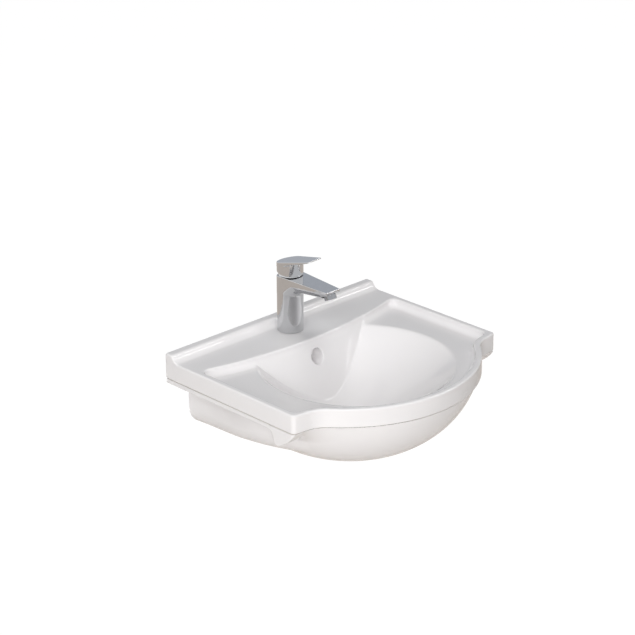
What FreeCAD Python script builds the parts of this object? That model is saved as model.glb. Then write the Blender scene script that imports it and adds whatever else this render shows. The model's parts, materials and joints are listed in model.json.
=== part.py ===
import FreeCAD, Part
import math
import os
import Sketcher

Vector = FreeCAD.Vector
doc = FreeCAD.newDocument("wash_basin_with_shelf")
sheet = doc.addObject("Spreadsheet::Sheet", "sizes")


class Size:
    """A length or angle with its value and the sheet expression that it comes from."""

    def __init__(self, value, text):
        self.value = value
        self.text = text

    def __add__(self, other):
        return Size(self.value + as_size(other).value, f"({self.text} + {as_size(other).text})")

    def __radd__(self, other):
        return as_size(other) + self

    def __sub__(self, other):
        return Size(self.value - as_size(other).value, f"({self.text} - {as_size(other).text})")

    def __rsub__(self, other):
        return as_size(other) - self

    def __mul__(self, other):
        return Size(self.value * as_size(other).value, f"({self.text} * {as_size(other).text})")

    __rmul__ = __mul__

    def __truediv__(self, other):
        return Size(self.value / as_size(other).value, f"({self.text} / {as_size(other).text})")

    def __neg__(self):
        return Size(-self.value, f"(-1 * {self.text})")


def as_size(number):
    return number if isinstance(number, Size) else Size(number, repr(number))


# Driving sizes, in millimetres and degrees
# Frame: wall face at y = 0, front towards -y, rim top at z = 0, x = 0 in the middle

sizes = {
    "overrun": 5,
    "running_fit": 0.05,
    "seat_gap": 0.3,
    # Ceramic: plan outline, band and lip
    "basin_width": 500,
    "basin_depth": 429,
    "side_depth": 320.5,
    "wing_length": 30.7,
    "wing_slope": 8,
    "wing_corner": 8,
    "neck_radius": 52,
    "band_height": 34,
    "band_round": 3,
    "groove_height": 1.5,
    "groove_depth": 1.5,
    "lip_height": 8,
    "lip_inset": 1,
    "lip_width": 34,
    # Ceramic: upstand along the wall
    "upstand_height": 13,
    "upstand_top": 14,
    "upstand_lean": 18.5,
    "upstand_round": 3.2,
    "upstand_foot": 21.5,
    "upstand_foot_height": 3.5,
    "upstand_reach": 31,
    # Ceramic: shelves and deck
    "rim_width": 12,
    "shelf_depth": 14,
    "shelf_cove": 12,
    "shelf_corner": 18,
    "shelf_wing_corner": 15,
    "deck_reach": 112,
    "deck_radius": 815,
    "deck_round": 4,
    "deck_thickness": 16,
    "floor_thickness": 12,
    # Ceramic: bowl and its back wall
    "bowl_front": 30,
    "bowl_radius": 178,
    "bowl_round": 7,
    "bowl_round_drop": 3.2,
    "bowl_middle_radius": 112,
    "bowl_middle_drop": 68.5,
    "bowl_wall": 12,
    "wall_middle_run": 10.3,
    "wall_middle_drop": 31.6,
    "wall_foot_run": 58,
    "block_depth": 200,
    # Ceramic: waste seat, tap hole and overflow
    "waste_seat_drop": 127,
    "waste_seat_radius": 33,
    "waste_seat_step": 3,
    "waste_hole_radius": 23.3,
    "boss_radius": 48,
    "tap_place": 52.4,
    "tap_hole_radius": 17.5,
    "overflow_radius": 14,
    "channel_place": 96,
    "channel_depth": 13,
    "channel_width": 40,
    "channel_wall": 9,
    "duct_width": 30,
    "duct_height": 10,
    "duct_drop": 138,
    # Ceramic: outer tub, rear tub and corner gussets
    "tub_lead": 8.9,
    "tub_inset": 14.6,
    "tub_rise": 25,
    "tub_height": 202,
    "tub_bottom": 160,
    "tub_wall": 12,
    "tub_floor_wall": 4,
    "window_width": 220,
    "window_depth": 64,
    "rear_tub_inset": 33,
    "rear_setback": 20,
    "rear_tub_drop": 131,
    "rear_tub_corner": 38,
    "rear_tub_middle": 120,
    "rear_tub_middle_drop": 128.5,
    "rear_tub_waist": 235,
    "rear_tub_waist_drop": 112,
    "rear_tub_waist_inset": 36,
    "rear_tub_front": 305,
    "rear_tub_front_drop": 95,
    "rear_tub_front_inset": 75,
    "back_apron": 14,
    "deck_cavity_depth": 80,
    "gusset_width": 60,
    "gusset_tip_place": 282,
    "gusset_tip_drop": 66.5,
    "gusset_front_bulge": 2.5,
    "gusset_rear_place": 251,
    "gusset_waist_place": 268.5,
    "gusset_waist_drop": 54,
    # Tap: body and spout
    "body_radius": 24,
    "body_lift": 0.6,
    "body_height": 107,
    "rear_drop": 4,
    "spout_reach": 108.6,
    "spout_tip_width": 33.4,
    "spout_tip_height": 104.8,
    "spout_root_drop": 30,
    "spout_root_flank": 15,
    "spout_root_keel": 22,
    "spout_tip_drop": 13.5,
    "spout_tip_flank": 4.5,
    "spout_tip_keel": 18,
    "cartridge_bore": 17.6,
    "cartridge_floor": 66,
    "nut_bore": 19,
    "nut_floor": 92,
    "dome_bore": 21.6,
    "dome_floor": 101.5,
    "inlet_radius": 4.5,
    "inlet_depth": 14,
    "inlet_spread": 6,
    "inlet_place": 2,
    "port_radius": 2.2,
    "stud_radius": 3,
    "stud_depth": 16,
    "stud_place": 8,
    "recess_depth": 1.4,
    "waterway_radius": 4.5,
    "waterway_height": 86,
    "waterway_start": 12,
    "waterway_length": 90,
    "waterway_tilt": 7.4,
    # Tap: aerator
    "aerator_radius": 11,
    "aerator_drop": 88,
    "aerator_place": 103,
    "aerator_tilt": 22,
    "aerator_grip": 8,
    "aerator_seat_back": 12.5,
    "aerator_seat_width": 44,
    "aerator_thread": 9.6,
    "aerator_thread_length": 4.2,
    "aerator_bore": 8.2,
    "aerator_mouth": 7,
    "aerator_lip": 1.4,
    "aerator_face_thickness": 3,
    "face_hole_radius": 1.2,
    "face_hole_ring": 4.6,
    "aerator_washer_thickness": 1.2,
    "aerator_washer_hole": 6.4,
    # Tap: cartridge
    "pivot_height": 101,
    "housing_wall": 2.6,
    "housing_shoulder": 4,
    "housing_base": 3.4,
    "collar_radius": 14.6,
    "collar_top": 97,
    "fixed_disc_thickness": 4,
    "moving_disc_thickness": 4,
    "seal_height": 1,
    "seal_radius": 3.4,
    "carrier_radius": 8.5,
    "carrier_height": 8,
    "carrier_hole": 3.9,
    "turret_radius": 11.8,
    "turret_top": 104.5,
    "turret_slot": 18.6,
    "pin_radius": 1.6,
    "pin_length": 21,
    "stem_width": 7,
    "stem_top": 121,
    "stem_post_floor": 96,
    "ball_radius": 3.4,
    "ball_height": 84,
    "stem_neck": 2.6,
    "nut_top": 99.5,
    "nut_hole": 15.2,
    "dome_radius": 21.5,
    "dome_thickness": 1.4,
    "dome_open": 15.2,
    # Tap: lever
    "lever_front": 62,
    "lever_front_width": 35.6,
    "lever_back_height": 128.05,
    "lever_tip_height": 149.7,
    "lever_root_thickness": 7,
    "lever_tip_thickness": 2.2,
    "lever_floor_front": 108,
    "lever_floor_rise": 6,
    "lever_wall": 2.1,
    "lever_ceiling": 124,
    "socket_radius": 7.6,
    "socket_floor": 116,
    "screw_radius": 2.4,
    "screw_length": 4,
    "screw_height": 119.4,
    "screw_key": 1.2,
    "screw_key_depth": 2,
    "indicator_radius": 3.2,
    "indicator_depth": 2,
    # Tap: fixing set under the deck
    "base_gasket_radius": 20.6,
    "base_gasket_hole": 16,
    "horseshoe_radius": 24,
    "horseshoe_rear": 3,
    "horseshoe_gasket_thickness": 3,
    "horseshoe_plate_thickness": 2,
    "stud_tail": 40,
    "fixing_nut_width": 13,
    "fixing_nut_height": 7,
}

class Sizes:
    """The driving sizes, each one a named cell of the sheet."""


S = Sizes()
for row, (alias, number) in enumerate(sizes.items(), 1):
    sheet.set(f"A{row}", alias)
    sheet.set(f"B{row}", repr(number))
    sheet.setAlias(f"B{row}", alias)
    setattr(S, alias, Size(number, f"sizes.{alias}"))

# How many sides or copies
NUT_SIDES = 6
FACE_HOLES = 8

# Shares of the sizes that they follow
half_share = 0.5
doc.recompute()

# Sizes of the casting that follow from its width and depth
half_basin = S.basin_width * half_share
bowl_place = S.basin_depth - S.bowl_front - S.bowl_radius
tub_radius = half_basin - S.tub_inset
tub_place = S.basin_depth - tub_radius + S.tub_lead
rear_tub_width = S.basin_width - S.rear_tub_inset * 2
rear_tub_waist_width = S.basin_width - S.rear_tub_waist_inset * 2
rear_tub_front_width = S.basin_width - S.rear_tub_front_inset * 2


# Helpers that make bound document objects

def origin_plane(body, role):
    return [feature for feature in body.Origin.OriginFeatures if feature.Role == role][0]


def bind(target, path, length):
    target.setExpression(path, as_size(length).text)


def place(target, x=0, y=0, z=0):
    for axis, length in (("x", x), ("y", y), ("z", z)):
        bind(target, f"Placement.Base.{axis}", length)
    return target


def draw_polygon(sketch, corners):
    """A closed outline of straight edges with each corner tied to two expressions."""
    corners = [(as_size(u), as_size(v)) for u, v in corners]
    count = len(corners)
    for index, (u, v) in enumerate(corners):
        next_u, next_v = corners[(index + 1) % count]
        ends = (Vector(u.value, v.value, 0), Vector(next_u.value, next_v.value, 0))
        sketch.addGeometry(Part.LineSegment(*ends), False)
    for index in range(count):
        sketch.addConstraint(Sketcher.Constraint("Coincident", index, 2, (index + 1) % count, 1))
    for index, corner in enumerate(corners):
        for kind, length in zip(("DistanceX", "DistanceY"), corner):
            number = sketch.addConstraint(Sketcher.Constraint(kind, -1, 1, index, 1, length.value))
            name = f"{kind}_{index}"
            sketch.renameConstraint(number, name)
            sketch.setExpression(f"Constraints.{name}", length.text)


def turned(label, profile, x=0, y=0, z=0):
    """A piece turned about the upright axis, from (radius, height) corners."""
    body = doc.addObject("PartDesign::Body", label)
    sketch = body.newObject("Sketcher::SketchObject", label + "_profile")
    sketch.AttachmentSupport = (origin_plane(body, "XZ_Plane"), [""])
    sketch.MapMode = "FlatFace"
    draw_polygon(sketch, profile)
    turn = body.newObject("PartDesign::Revolution", label + "_turn")
    turn.Profile = sketch
    turn.ReferenceAxis = (sketch, ["V_Axis"])
    turn.Angle = 360
    return place(body, x, y, z)


def padded(label, role, corners, length, x=0, y=0, z=0, both_ways=False):
    """A straight-edged prism drawn on one of the body's own planes."""
    body = doc.addObject("PartDesign::Body", label)
    sketch = body.newObject("Sketcher::SketchObject", label + "_outline")
    sketch.AttachmentSupport = (origin_plane(body, role), [""])
    sketch.MapMode = "FlatFace"
    draw_polygon(sketch, corners)
    pad = body.newObject("PartDesign::Pad", label + "_pad")
    pad.Profile = sketch
    bind(pad, "Length", length)
    pad.SideType = "Symmetric" if both_ways else "One side"
    return place(body, x, y, z)


def cylinder(label, radius, height, x=0, y=0, z=0):
    solid = doc.addObject("Part::Cylinder", label)
    bind(solid, "Radius", radius)
    bind(solid, "Height", height)
    return place(solid, x, y, z)


def lying_cylinder(label, radius, height, x=0, y=0, z=0):
    """A cylinder that starts at its place and runs towards the front."""
    solid = cylinder(label, radius, height)
    solid.Placement = FreeCAD.Placement(Vector(), FreeCAD.Rotation(Vector(1, 0, 0), 90))
    return place(solid, x, y, z)


def cross_cylinder(label, radius, height, y=0, z=0):
    """A cylinder across the part, centred on x = 0."""
    solid = cylinder(label, radius, height)
    solid.Placement = FreeCAD.Placement(Vector(), FreeCAD.Rotation(Vector(0, 1, 0), 90))
    return place(solid, -(height * half_share), y, z)


def block(label, width, depth, height, y=0, z=0, x=None):
    """A box that is centred on x unless told, from its rear-most y forward, up from z."""
    solid = doc.addObject("Part::Box", label)
    for path, length in (("Length", width), ("Width", depth), ("Height", height)):
        bind(solid, path, length)
    left = -(width * half_share) if x is None else x
    return place(solid, left, y - depth, z)


def tilted(target, degrees, y, z):
    """Turn an object about the cross axis through (y, z)."""
    target.Placement = FreeCAD.Placement(Vector(), FreeCAD.Rotation(Vector(1, 0, 0), degrees.value))
    bind(target, "Placement.Rotation.Angle", degrees)
    bind(target, "Placement.Base.y", y)
    bind(target, "Placement.Base.z", z)
    return target


def fused(label, pieces):
    whole = doc.addObject("Part::MultiFuse", label)
    whole.Shapes = pieces
    return whole


def cut(label, base, tools):
    tool = tools[0] if len(tools) == 1 else fused(label + "_tools", tools)
    rest = doc.addObject("Part::Cut", label)
    rest.Base = base
    rest.Tool = tool
    return rest


def shared(label, first, second):
    both = doc.addObject("Part::Common", label)
    both.Base = first
    both.Tool = second
    return both


def set_shape(label, shape):
    piece = doc.addObject("Part::Feature", label)
    piece.Shape = shape
    piece.Placement = FreeCAD.Placement()
    return piece


# The ceramic casting, sculpted from outlines, arcs and turned forms

def number(length):
    return length.value


def arc_edge(start, middle, end):
    return Part.Arc(Vector(*start), Vector(*middle), Vector(*end)).toShape()


def line_edge(start, end):
    return Part.LineSegment(Vector(*start), Vector(*end)).toShape()


def mirrored(point):
    return (-point[0],) + tuple(point[1:])


def along(start, direction, length):
    return tuple(a + b * length for a, b in zip(start, direction))


def mid_arc(centre, radius, first, second):
    """The point of an arc half way between two of its points."""
    lean = [a + b - 2 * c for a, b, c in zip(first, second, centre)]
    scale = radius / math.hypot(*lean)
    return tuple(c + v * scale for c, v in zip(centre, lean))


def wing_front(inset, corner):
    """Right half of the front: corner arc, wing edge, hollow neck and bow, set in from the rim."""
    slope = math.radians(number(S.wing_slope))
    inward = (-math.sin(slope), math.cos(slope))
    run = (-math.cos(slope), -math.sin(slope))
    half_width = number(half_basin)
    rim_corner = (half_width, -number(S.side_depth))
    neck = number(S.neck_radius)
    neck_centre = along(along(rim_corner, inward, -neck), run, number(S.wing_length))
    lead = neck_centre[1] + number(S.basin_depth)
    bow_radius = (neck_centre[0]**2 + lead**2 - neck**2) / (2 * (lead + neck))
    bow_centre = (0.0, bow_radius - number(S.basin_depth))
    bow = bow_radius - inset
    reach = bow_radius + neck
    on_wing = along(neck_centre, inward, neck + inset)
    toward = tuple((a - b) / reach for a, b in zip(neck_centre, bow_centre))
    on_bow = along(bow_centre, toward, bow)
    side_x = half_width - inset
    base = along(along(rim_corner, inward, inset), inward, corner)
    corner_centre = along(base, run, (base[0] - (side_x - corner)) / math.cos(slope))
    on_side = (side_x, corner_centre[1])
    on_edge = along(corner_centre, inward, -corner)
    return {
        "side": on_side,
        "corner_middle": mid_arc(corner_centre, corner, on_side, on_edge),
        "edge": on_edge,
        "wing": on_wing,
        "neck_middle": mid_arc(neck_centre, neck + inset, on_wing, on_bow),
        "bow": on_bow,
        "nose": (0.0, bow_centre[1] - bow),
    }


def front_edges(points):
    """The front from the right side round to the left side, in the plane z = 0."""
    flat = {name: tuple(point) + (0.0,) for name, point in points.items()}
    left = {name: mirrored(point) for name, point in flat.items()}
    return [
        arc_edge(flat["side"], flat["corner_middle"], flat["edge"]),
        line_edge(flat["edge"], flat["wing"]),
        arc_edge(flat["wing"], flat["neck_middle"], flat["bow"]),
        arc_edge(flat["bow"], flat["nose"], left["bow"]),
        arc_edge(left["bow"], left["neck_middle"], left["wing"]),
        line_edge(left["wing"], left["edge"]),
        arc_edge(left["edge"], left["corner_middle"], left["side"]),
    ]


def rim_face(inset):
    points = wing_front(inset, number(S.wing_corner))
    right_back = (points["side"][0], -inset, 0.0)
    right_side = tuple(points["side"]) + (0.0,)
    edges = [line_edge(right_back, right_side)]
    edges += front_edges(points)
    edges.append(line_edge(mirrored(right_side), mirrored(right_back)))
    edges.append(line_edge(mirrored(right_back), right_back))
    return Part.Face(Part.Wire(edges))


def shelf_face():
    """The recess in front of the deck arc and inside the rim."""
    inset = number(S.rim_width)
    points = wing_front(inset, number(S.shelf_wing_corner))
    deck_centre = (0.0, number(S.deck_radius) - number(S.deck_reach))
    corner = number(S.shelf_corner)
    corner_x = points["side"][0] - corner
    corner_reach = number(S.deck_radius) + corner
    corner_centre = (corner_x, deck_centre[1] - math.sqrt(corner_reach**2 - corner_x**2))
    toward = tuple((a - b) / corner_reach for a, b in zip(corner_centre, deck_centre))
    on_deck = along(deck_centre, toward, number(S.deck_radius))
    on_side = (points["side"][0], corner_centre[1])
    middle = mid_arc(corner_centre, corner, on_deck, on_side)
    flat = [tuple(point) + (0.0,) for point in (on_deck, middle, on_side)]
    apex = (0.0, -number(S.deck_reach), 0.0)
    right_side = tuple(points["side"]) + (0.0,)
    edges = [arc_edge(*flat), line_edge(flat[2], right_side)]
    edges += front_edges(points)
    edges.append(line_edge(mirrored(right_side), mirrored(flat[2])))
    edges.append(arc_edge(mirrored(flat[2]), mirrored(flat[1]), mirrored(flat[0])))
    edges.append(arc_edge(mirrored(flat[0]), apex, flat[0]))
    return Part.Face(Part.Wire(edges))


def slab(face, top, bottom):
    lowered = face.copy()
    lowered.translate(Vector(0, 0, bottom))
    return lowered.extrude(Vector(0, 0, top - bottom))


def edges_at(shape, level):
    """The edges that lie wholly in one level plane."""
    near = number(S.running_fit)
    return [
        edge for edge in shape.Edges
        if abs(edge.BoundBox.ZMin - level) < near and abs(edge.BoundBox.ZMax - level) < near
    ]


def turned_about(edges, y):
    """A solid of revolution about the upright axis through (0, y)."""
    face = Part.Face(Part.Wire(edges))
    face.translate(Vector(0, y, 0))
    return face.revolve(Vector(0, y, 0), Vector(0, 0, 1), 360)


def upstand_solid():
    half_width = number(half_basin)
    height = number(S.upstand_height)
    top = number(S.upstand_top)
    lean = number(S.upstand_lean)
    round_drop = number(S.upstand_round)
    foot = number(S.upstand_foot)
    foot_height = number(S.upstand_foot_height)
    reach = number(S.upstand_reach)
    sunk = number(S.overrun)
    bulge_share = 0.72
    hollow_share = 0.3
    x = -half_width
    shoulder = (x, -(top + (lean - top) * bulge_share), height - round_drop * (1 - bulge_share))
    cove = (x, -(foot + (reach - foot) * hollow_share), foot_height * hollow_share)
    edges = [
        line_edge((x, 0, -sunk), (x, 0, height)),
        line_edge((x, 0, height), (x, -top, height)),
        arc_edge((x, -top, height), shoulder, (x, -lean, height - round_drop)),
        line_edge((x, -lean, height - round_drop), (x, -foot, foot_height)),
        arc_edge((x, -foot, foot_height), cove, (x, -reach, 0)),
        line_edge((x, -reach, 0), (x, -reach, -sunk)),
        line_edge((x, -reach, -sunk), (x, 0, -sunk)),
    ]
    return Part.Face(Part.Wire(edges)).extrude(Vector(number(S.basin_width), 0, 0))


def bowl_form(skin):
    """The bowl as a turned solid, with the skin added outside it."""
    radius = number(S.bowl_radius)
    floor = -number(S.shelf_depth)
    edge_round = number(S.bowl_round)
    edge_drop = number(S.bowl_round_drop)
    seat = number(S.waste_seat_radius)
    seat_floor = -number(S.waste_seat_drop)
    seat_edge = seat_floor + number(S.waste_seat_step)
    middle = number(S.bowl_middle_radius)
    middle_level = -number(S.bowl_middle_drop)
    top = number(S.overrun) if skin == 0 else floor
    brink = radius - edge_round
    brink_level = floor - edge_drop
    bend_share = 0.45
    lip_middle = (radius - edge_round * bend_share, 0, floor - edge_drop * (1 - bend_share) * bend_share)
    if skin:
        points = [
            (0, 0, top),
            (radius + skin, 0, top),
            (brink + skin, 0, brink_level - skin),
            (seat + skin, 0, seat_edge - skin),
            (0, 0, seat_edge - skin),
        ]
        edges = [
            line_edge(points[0], points[1]),
            line_edge(points[1], points[2]),
            arc_edge(points[2], (middle + skin * half_share, 0, middle_level - skin), points[3]),
            line_edge(points[3], points[4]),
            line_edge(points[4], points[0]),
        ]
    else:
        edges = [
            line_edge((0, 0, top), (radius, 0, top)),
            line_edge((radius, 0, top), (radius, 0, floor)),
            arc_edge((radius, 0, floor), lip_middle, (brink, 0, brink_level)),
            arc_edge((brink, 0, brink_level), (middle, 0, middle_level), (seat, 0, seat_edge)),
            line_edge((seat, 0, seat_edge), (seat, 0, seat_floor)),
            line_edge((seat, 0, seat_floor), (0, 0, seat_floor)),
            line_edge((0, 0, seat_floor), (0, 0, top)),
        ]
    return turned_about(edges, -number(bowl_place))


def back_block(skin):
    """Everything behind the bowl's back wall, whose face leans and bends forward below the deck."""
    radius = number(S.deck_radius) - skin
    top_round = number(S.deck_round)
    middle_run = number(S.wall_middle_run)
    middle_drop = number(S.wall_middle_drop)
    foot_run = number(S.wall_foot_run)
    foot_drop = number(S.waste_seat_drop)
    inner = radius - number(S.block_depth)
    over = number(S.overrun)
    top_share = 0.3
    top = over if skin else 0
    start = (radius, 0, -top_round)
    brow = (radius - top_round, 0, top)
    brow_middle = (radius - top_round * top_share, 0, -top_round * top_share)
    edges = [
        line_edge((inner, 0, -foot_drop - over), (inner, 0, top)),
        line_edge((inner, 0, top), brow),
        line_edge(brow, start) if skin else arc_edge(brow, brow_middle, start),
        arc_edge(start, (radius + middle_run, 0, -middle_drop), (radius + foot_run, 0, -foot_drop)),
        line_edge((radius + foot_run, 0, -foot_drop), (radius + foot_run, 0, -foot_drop - over)),
        line_edge((radius + foot_run, 0, -foot_drop - over), (inner, 0, -foot_drop - over)),
    ]
    return turned_about(edges, number(S.deck_radius) - number(S.deck_reach))


def tub_form(side_skin, floor_skin, top, bottom):
    """The outer tub as a turned ellipse, or the hollow inside its wall."""
    radius = number(tub_radius) - side_skin
    height = number(S.tub_height) - floor_skin
    rise = number(S.tub_rise)
    middle = Vector(0, 0, rise)
    flank = Vector(radius, 0, rise)
    if radius > height:
        oval = Part.Ellipse(flank, Vector(0, 0, rise + height), middle)
        turns = [math.asin((level - rise) / height) for level in (bottom, top)]
    else:
        oval = Part.Ellipse(Vector(0, 0, rise - height), flank, middle)
        turns = [math.acos((rise - level) / height) for level in (bottom, top)]
    side = Part.ArcOfEllipse(oval, *turns)
    low, high = side.StartPoint, side.EndPoint
    edges = [
        line_edge((0, 0, bottom), low),
        side.toShape(),
        line_edge(high, (0, 0, top)),
        line_edge((0, 0, top), (0, 0, bottom)),
    ]
    return turned_about(edges, -number(tub_place))


def rear_tub_wire(place, drop, width, skin, top):
    """A section across the rear tub: straight sides and rounded lower corners."""
    y = -number(place)
    half_width = number(width) * half_share - skin
    corner = number(S.rear_tub_corner) - skin
    floor = skin - number(drop)
    diagonal = corner * math.sqrt(half_share)
    right = [
        (half_width, y, top),
        (half_width, y, floor + corner),
        (half_width - corner + diagonal, y, floor + corner - diagonal),
        (half_width - corner, y, floor),
    ]
    left = [mirrored(point) for point in right]
    return Part.Wire([
        line_edge(right[0], right[1]),
        arc_edge(right[1], right[2], right[3]),
        line_edge(right[3], left[3]),
        arc_edge(left[3], left[2], left[1]),
        line_edge(left[1], left[0]),
        line_edge(left[0], right[0]),
    ])


def rear_tub(rear, skin, top):
    """The rear tub from the wall until it runs into the outer tub, or the hollow inside its skin."""
    stations = [
        (rear, S.rear_tub_drop, rear_tub_width),
        (S.rear_tub_middle, S.rear_tub_middle_drop, rear_tub_width),
        (S.rear_tub_waist, S.rear_tub_waist_drop, rear_tub_waist_width),
        (S.rear_tub_front, S.rear_tub_front_drop, rear_tub_front_width),
    ]
    return Part.makeLoft([rear_tub_wire(*station, skin, top) for station in stations], True, False)


def gusset():
    """The corner web under the left wing, drawn in side view."""
    x = -number(half_basin) + number(S.lip_inset)
    top = -number(S.band_height)
    lip = top - number(S.groove_height) - number(S.lip_height)
    front = -number(S.side_depth)
    tip = (x, -number(S.gusset_tip_place), -number(S.gusset_tip_drop))
    waist = (x, -number(S.gusset_waist_place), -number(S.gusset_waist_drop))
    rear = (x, -number(S.gusset_rear_place), lip)
    bulge = number(S.gusset_front_bulge)
    front_middle = (x, (front + tip[1]) * half_share - bulge, (top + tip[2]) * half_share - bulge)
    turn_share = 0.3
    rear_middle = (x, waist[1] + (rear[1] - waist[1]) * turn_share, lip + (waist[2] - lip) * turn_share)
    tip_middle = (x, waist[1] + (tip[1] - waist[1]) * turn_share, tip[2] + (waist[2] - tip[2]) * turn_share)
    edges = [
        line_edge((x, rear[1], top), (x, front, top)),
        arc_edge((x, front, top), front_middle, tip),
        arc_edge(tip, tip_middle, waist),
        arc_edge(waist, rear_middle, rear),
        line_edge(rear, (x, rear[1], top)),
    ]
    web = Part.Face(Part.Wire(edges)).extrude(Vector(number(S.gusset_width), 0, 0))
    return [web, web.mirror(Vector(), Vector(1, 0, 0))]


def box_between(low, high):
    size = [b - a for a, b in zip(low, high)]
    return Part.makeBox(*size, Vector(*low))


def basin_casting():
    over = number(S.overrun)
    half_width = number(half_basin)
    band_floor = -number(S.band_height)
    groove_floor = band_floor - number(S.groove_height)
    lip_floor = groove_floor - number(S.lip_height)
    band = slab(rim_face(0), 0, band_floor)
    upper = [edge for edge in edges_at(band, 0) if edge.BoundBox.YMin < -over]
    band = band.makeFillet(number(S.band_round), upper)
    groove = slab(rim_face(number(S.groove_depth)), band_floor + over, groove_floor)
    lip_edge = half_width - number(S.lip_inset)
    lip_inner = lip_edge - number(S.lip_width)
    lip_front = -number(S.gusset_tip_place)
    lips = [
        box_between((side * lip_inner if side > 0 else -lip_edge, lip_front, lip_floor),
                    (lip_edge if side > 0 else -lip_inner, 0, band_floor))
        for side in (1, -1)
    ]
    lips.append(box_between((-lip_edge, -number(S.back_apron), lip_floor), (lip_edge, 0, band_floor)))
    tub_floor = -number(S.tub_bottom)
    setback = number(S.rear_setback)
    deep = tub_floor - over
    before_wall = box_between((-half_width, -number(S.basin_depth), deep), (half_width, -setback, over))
    tub = tub_form(0, 0, band_floor, tub_floor).common(before_wall)
    pieces = [upstand_solid(), groove, tub, rear_tub(S.rear_setback, 0, groove_floor)]
    pieces += lips + gusset()
    whole = band.multiFuse(pieces)

    shelf_floor = -number(S.shelf_depth)
    shelf = slab(shelf_face(), over, shelf_floor)
    shelf = shelf.makeFillet(number(S.shelf_cove), edges_at(shelf, shelf_floor))
    bowl = bowl_form(0).cut(back_block(0))

    waste_y = -number(bowl_place)
    under_deck = -number(S.deck_thickness)
    under_shelf = shelf_floor - number(S.floor_thickness)
    tub_wall = number(S.tub_wall)
    inner_half = number(rear_tub_width) * half_share - tub_wall
    cavity_front = -number(S.deck_cavity_depth)
    deck_cavity = box_between((-inner_half, cavity_front, lip_floor),
                              (inner_half, -number(S.back_apron), under_deck))
    rear_cavity = rear_tub(S.rear_setback - S.overrun, tub_wall, under_shelf)
    behind_deck = box_between((-half_width, -number(S.back_apron), lip_floor), (half_width, over, over))
    rear_cavity = rear_cavity.cut(behind_deck)
    window_half = number(S.window_width) * half_share
    window = box_between((-window_half, -setback - number(S.window_depth), deep),
                         (window_half, -setback + over, lip_floor))
    skin = number(S.bowl_wall)
    bowl_skin = bowl_form(skin).cut(back_block(skin))
    boss = Part.makeCylinder(number(S.boss_radius), number(S.tub_bottom) + under_shelf,
                             Vector(0, waste_y, tub_floor))
    channel_half = number(S.channel_width) * half_share
    channel_wall = number(S.channel_wall)
    channel_rear = -number(S.channel_place)
    duct_top = -number(S.duct_drop)
    duct_floor = duct_top - number(S.duct_height)
    casing = box_between((-channel_half - channel_wall, waste_y, duct_floor - channel_wall),
                         (channel_half + channel_wall, channel_rear + channel_wall, under_deck))
    tub_hollow = tub_form(tub_wall, number(S.tub_floor_wall), under_shelf, deep)
    hollow = deck_cavity.multiFuse([rear_cavity, window, tub_hollow.common(before_wall)])
    hollow = hollow.cut(bowl_skin.multiFuse([boss, casing]))

    shaft = box_between((-channel_half, channel_rear - number(S.channel_depth), duct_floor),
                        (channel_half, channel_rear, under_deck))
    duct_half = number(S.duct_width) * half_share
    duct = box_between((-duct_half, waste_y, duct_floor), (duct_half, channel_rear, duct_top))
    reach = number(bowl_place) - number(S.channel_place)
    running_fit = number(S.running_fit)
    overflow = Part.makeCylinder(number(S.overflow_radius), reach * half_share,
                                 Vector(0, channel_rear - running_fit, -number(S.wall_middle_drop)),
                                 Vector(0, -1, 0))
    waste_hole = Part.makeCylinder(number(S.waste_hole_radius), number(S.tub_bottom),
                                   Vector(0, waste_y, tub_floor - over))
    tap_hole = Part.makeCylinder(number(S.tap_hole_radius), number(S.deck_thickness) + 2 * over,
                                 Vector(0, -number(S.tap_place), under_deck - over))
    return whole.cut(shelf.multiFuse([bowl, hollow, shaft, duct, overflow, waste_hole, tap_hole]))


set_shape("basin", basin_casting())

# Tap body with its spout

tap_y = -S.tap_place
base_level = S.body_lift


def section_sketch(label, y, corners):
    """A section across the part, drawn upright at a distance from the wall."""
    sketch = doc.addObject("Sketcher::SketchObject", label)
    sketch.Placement = FreeCAD.Placement(Vector(), FreeCAD.Rotation(Vector(1, 0, 0), 90))
    bind(sketch, "Placement.Base.y", y)
    draw_polygon(sketch, corners)
    return sketch


def spout_section(label, y, half_width, top, flank, drop, keel):
    low = top - drop
    side = top - flank
    half_keel = keel * half_share
    return section_sketch(label, y, [
        (half_width, top), (-half_width, top), (-half_width, side),
        (-half_keel, low), (half_keel, low), (half_width, side),
    ])


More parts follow.
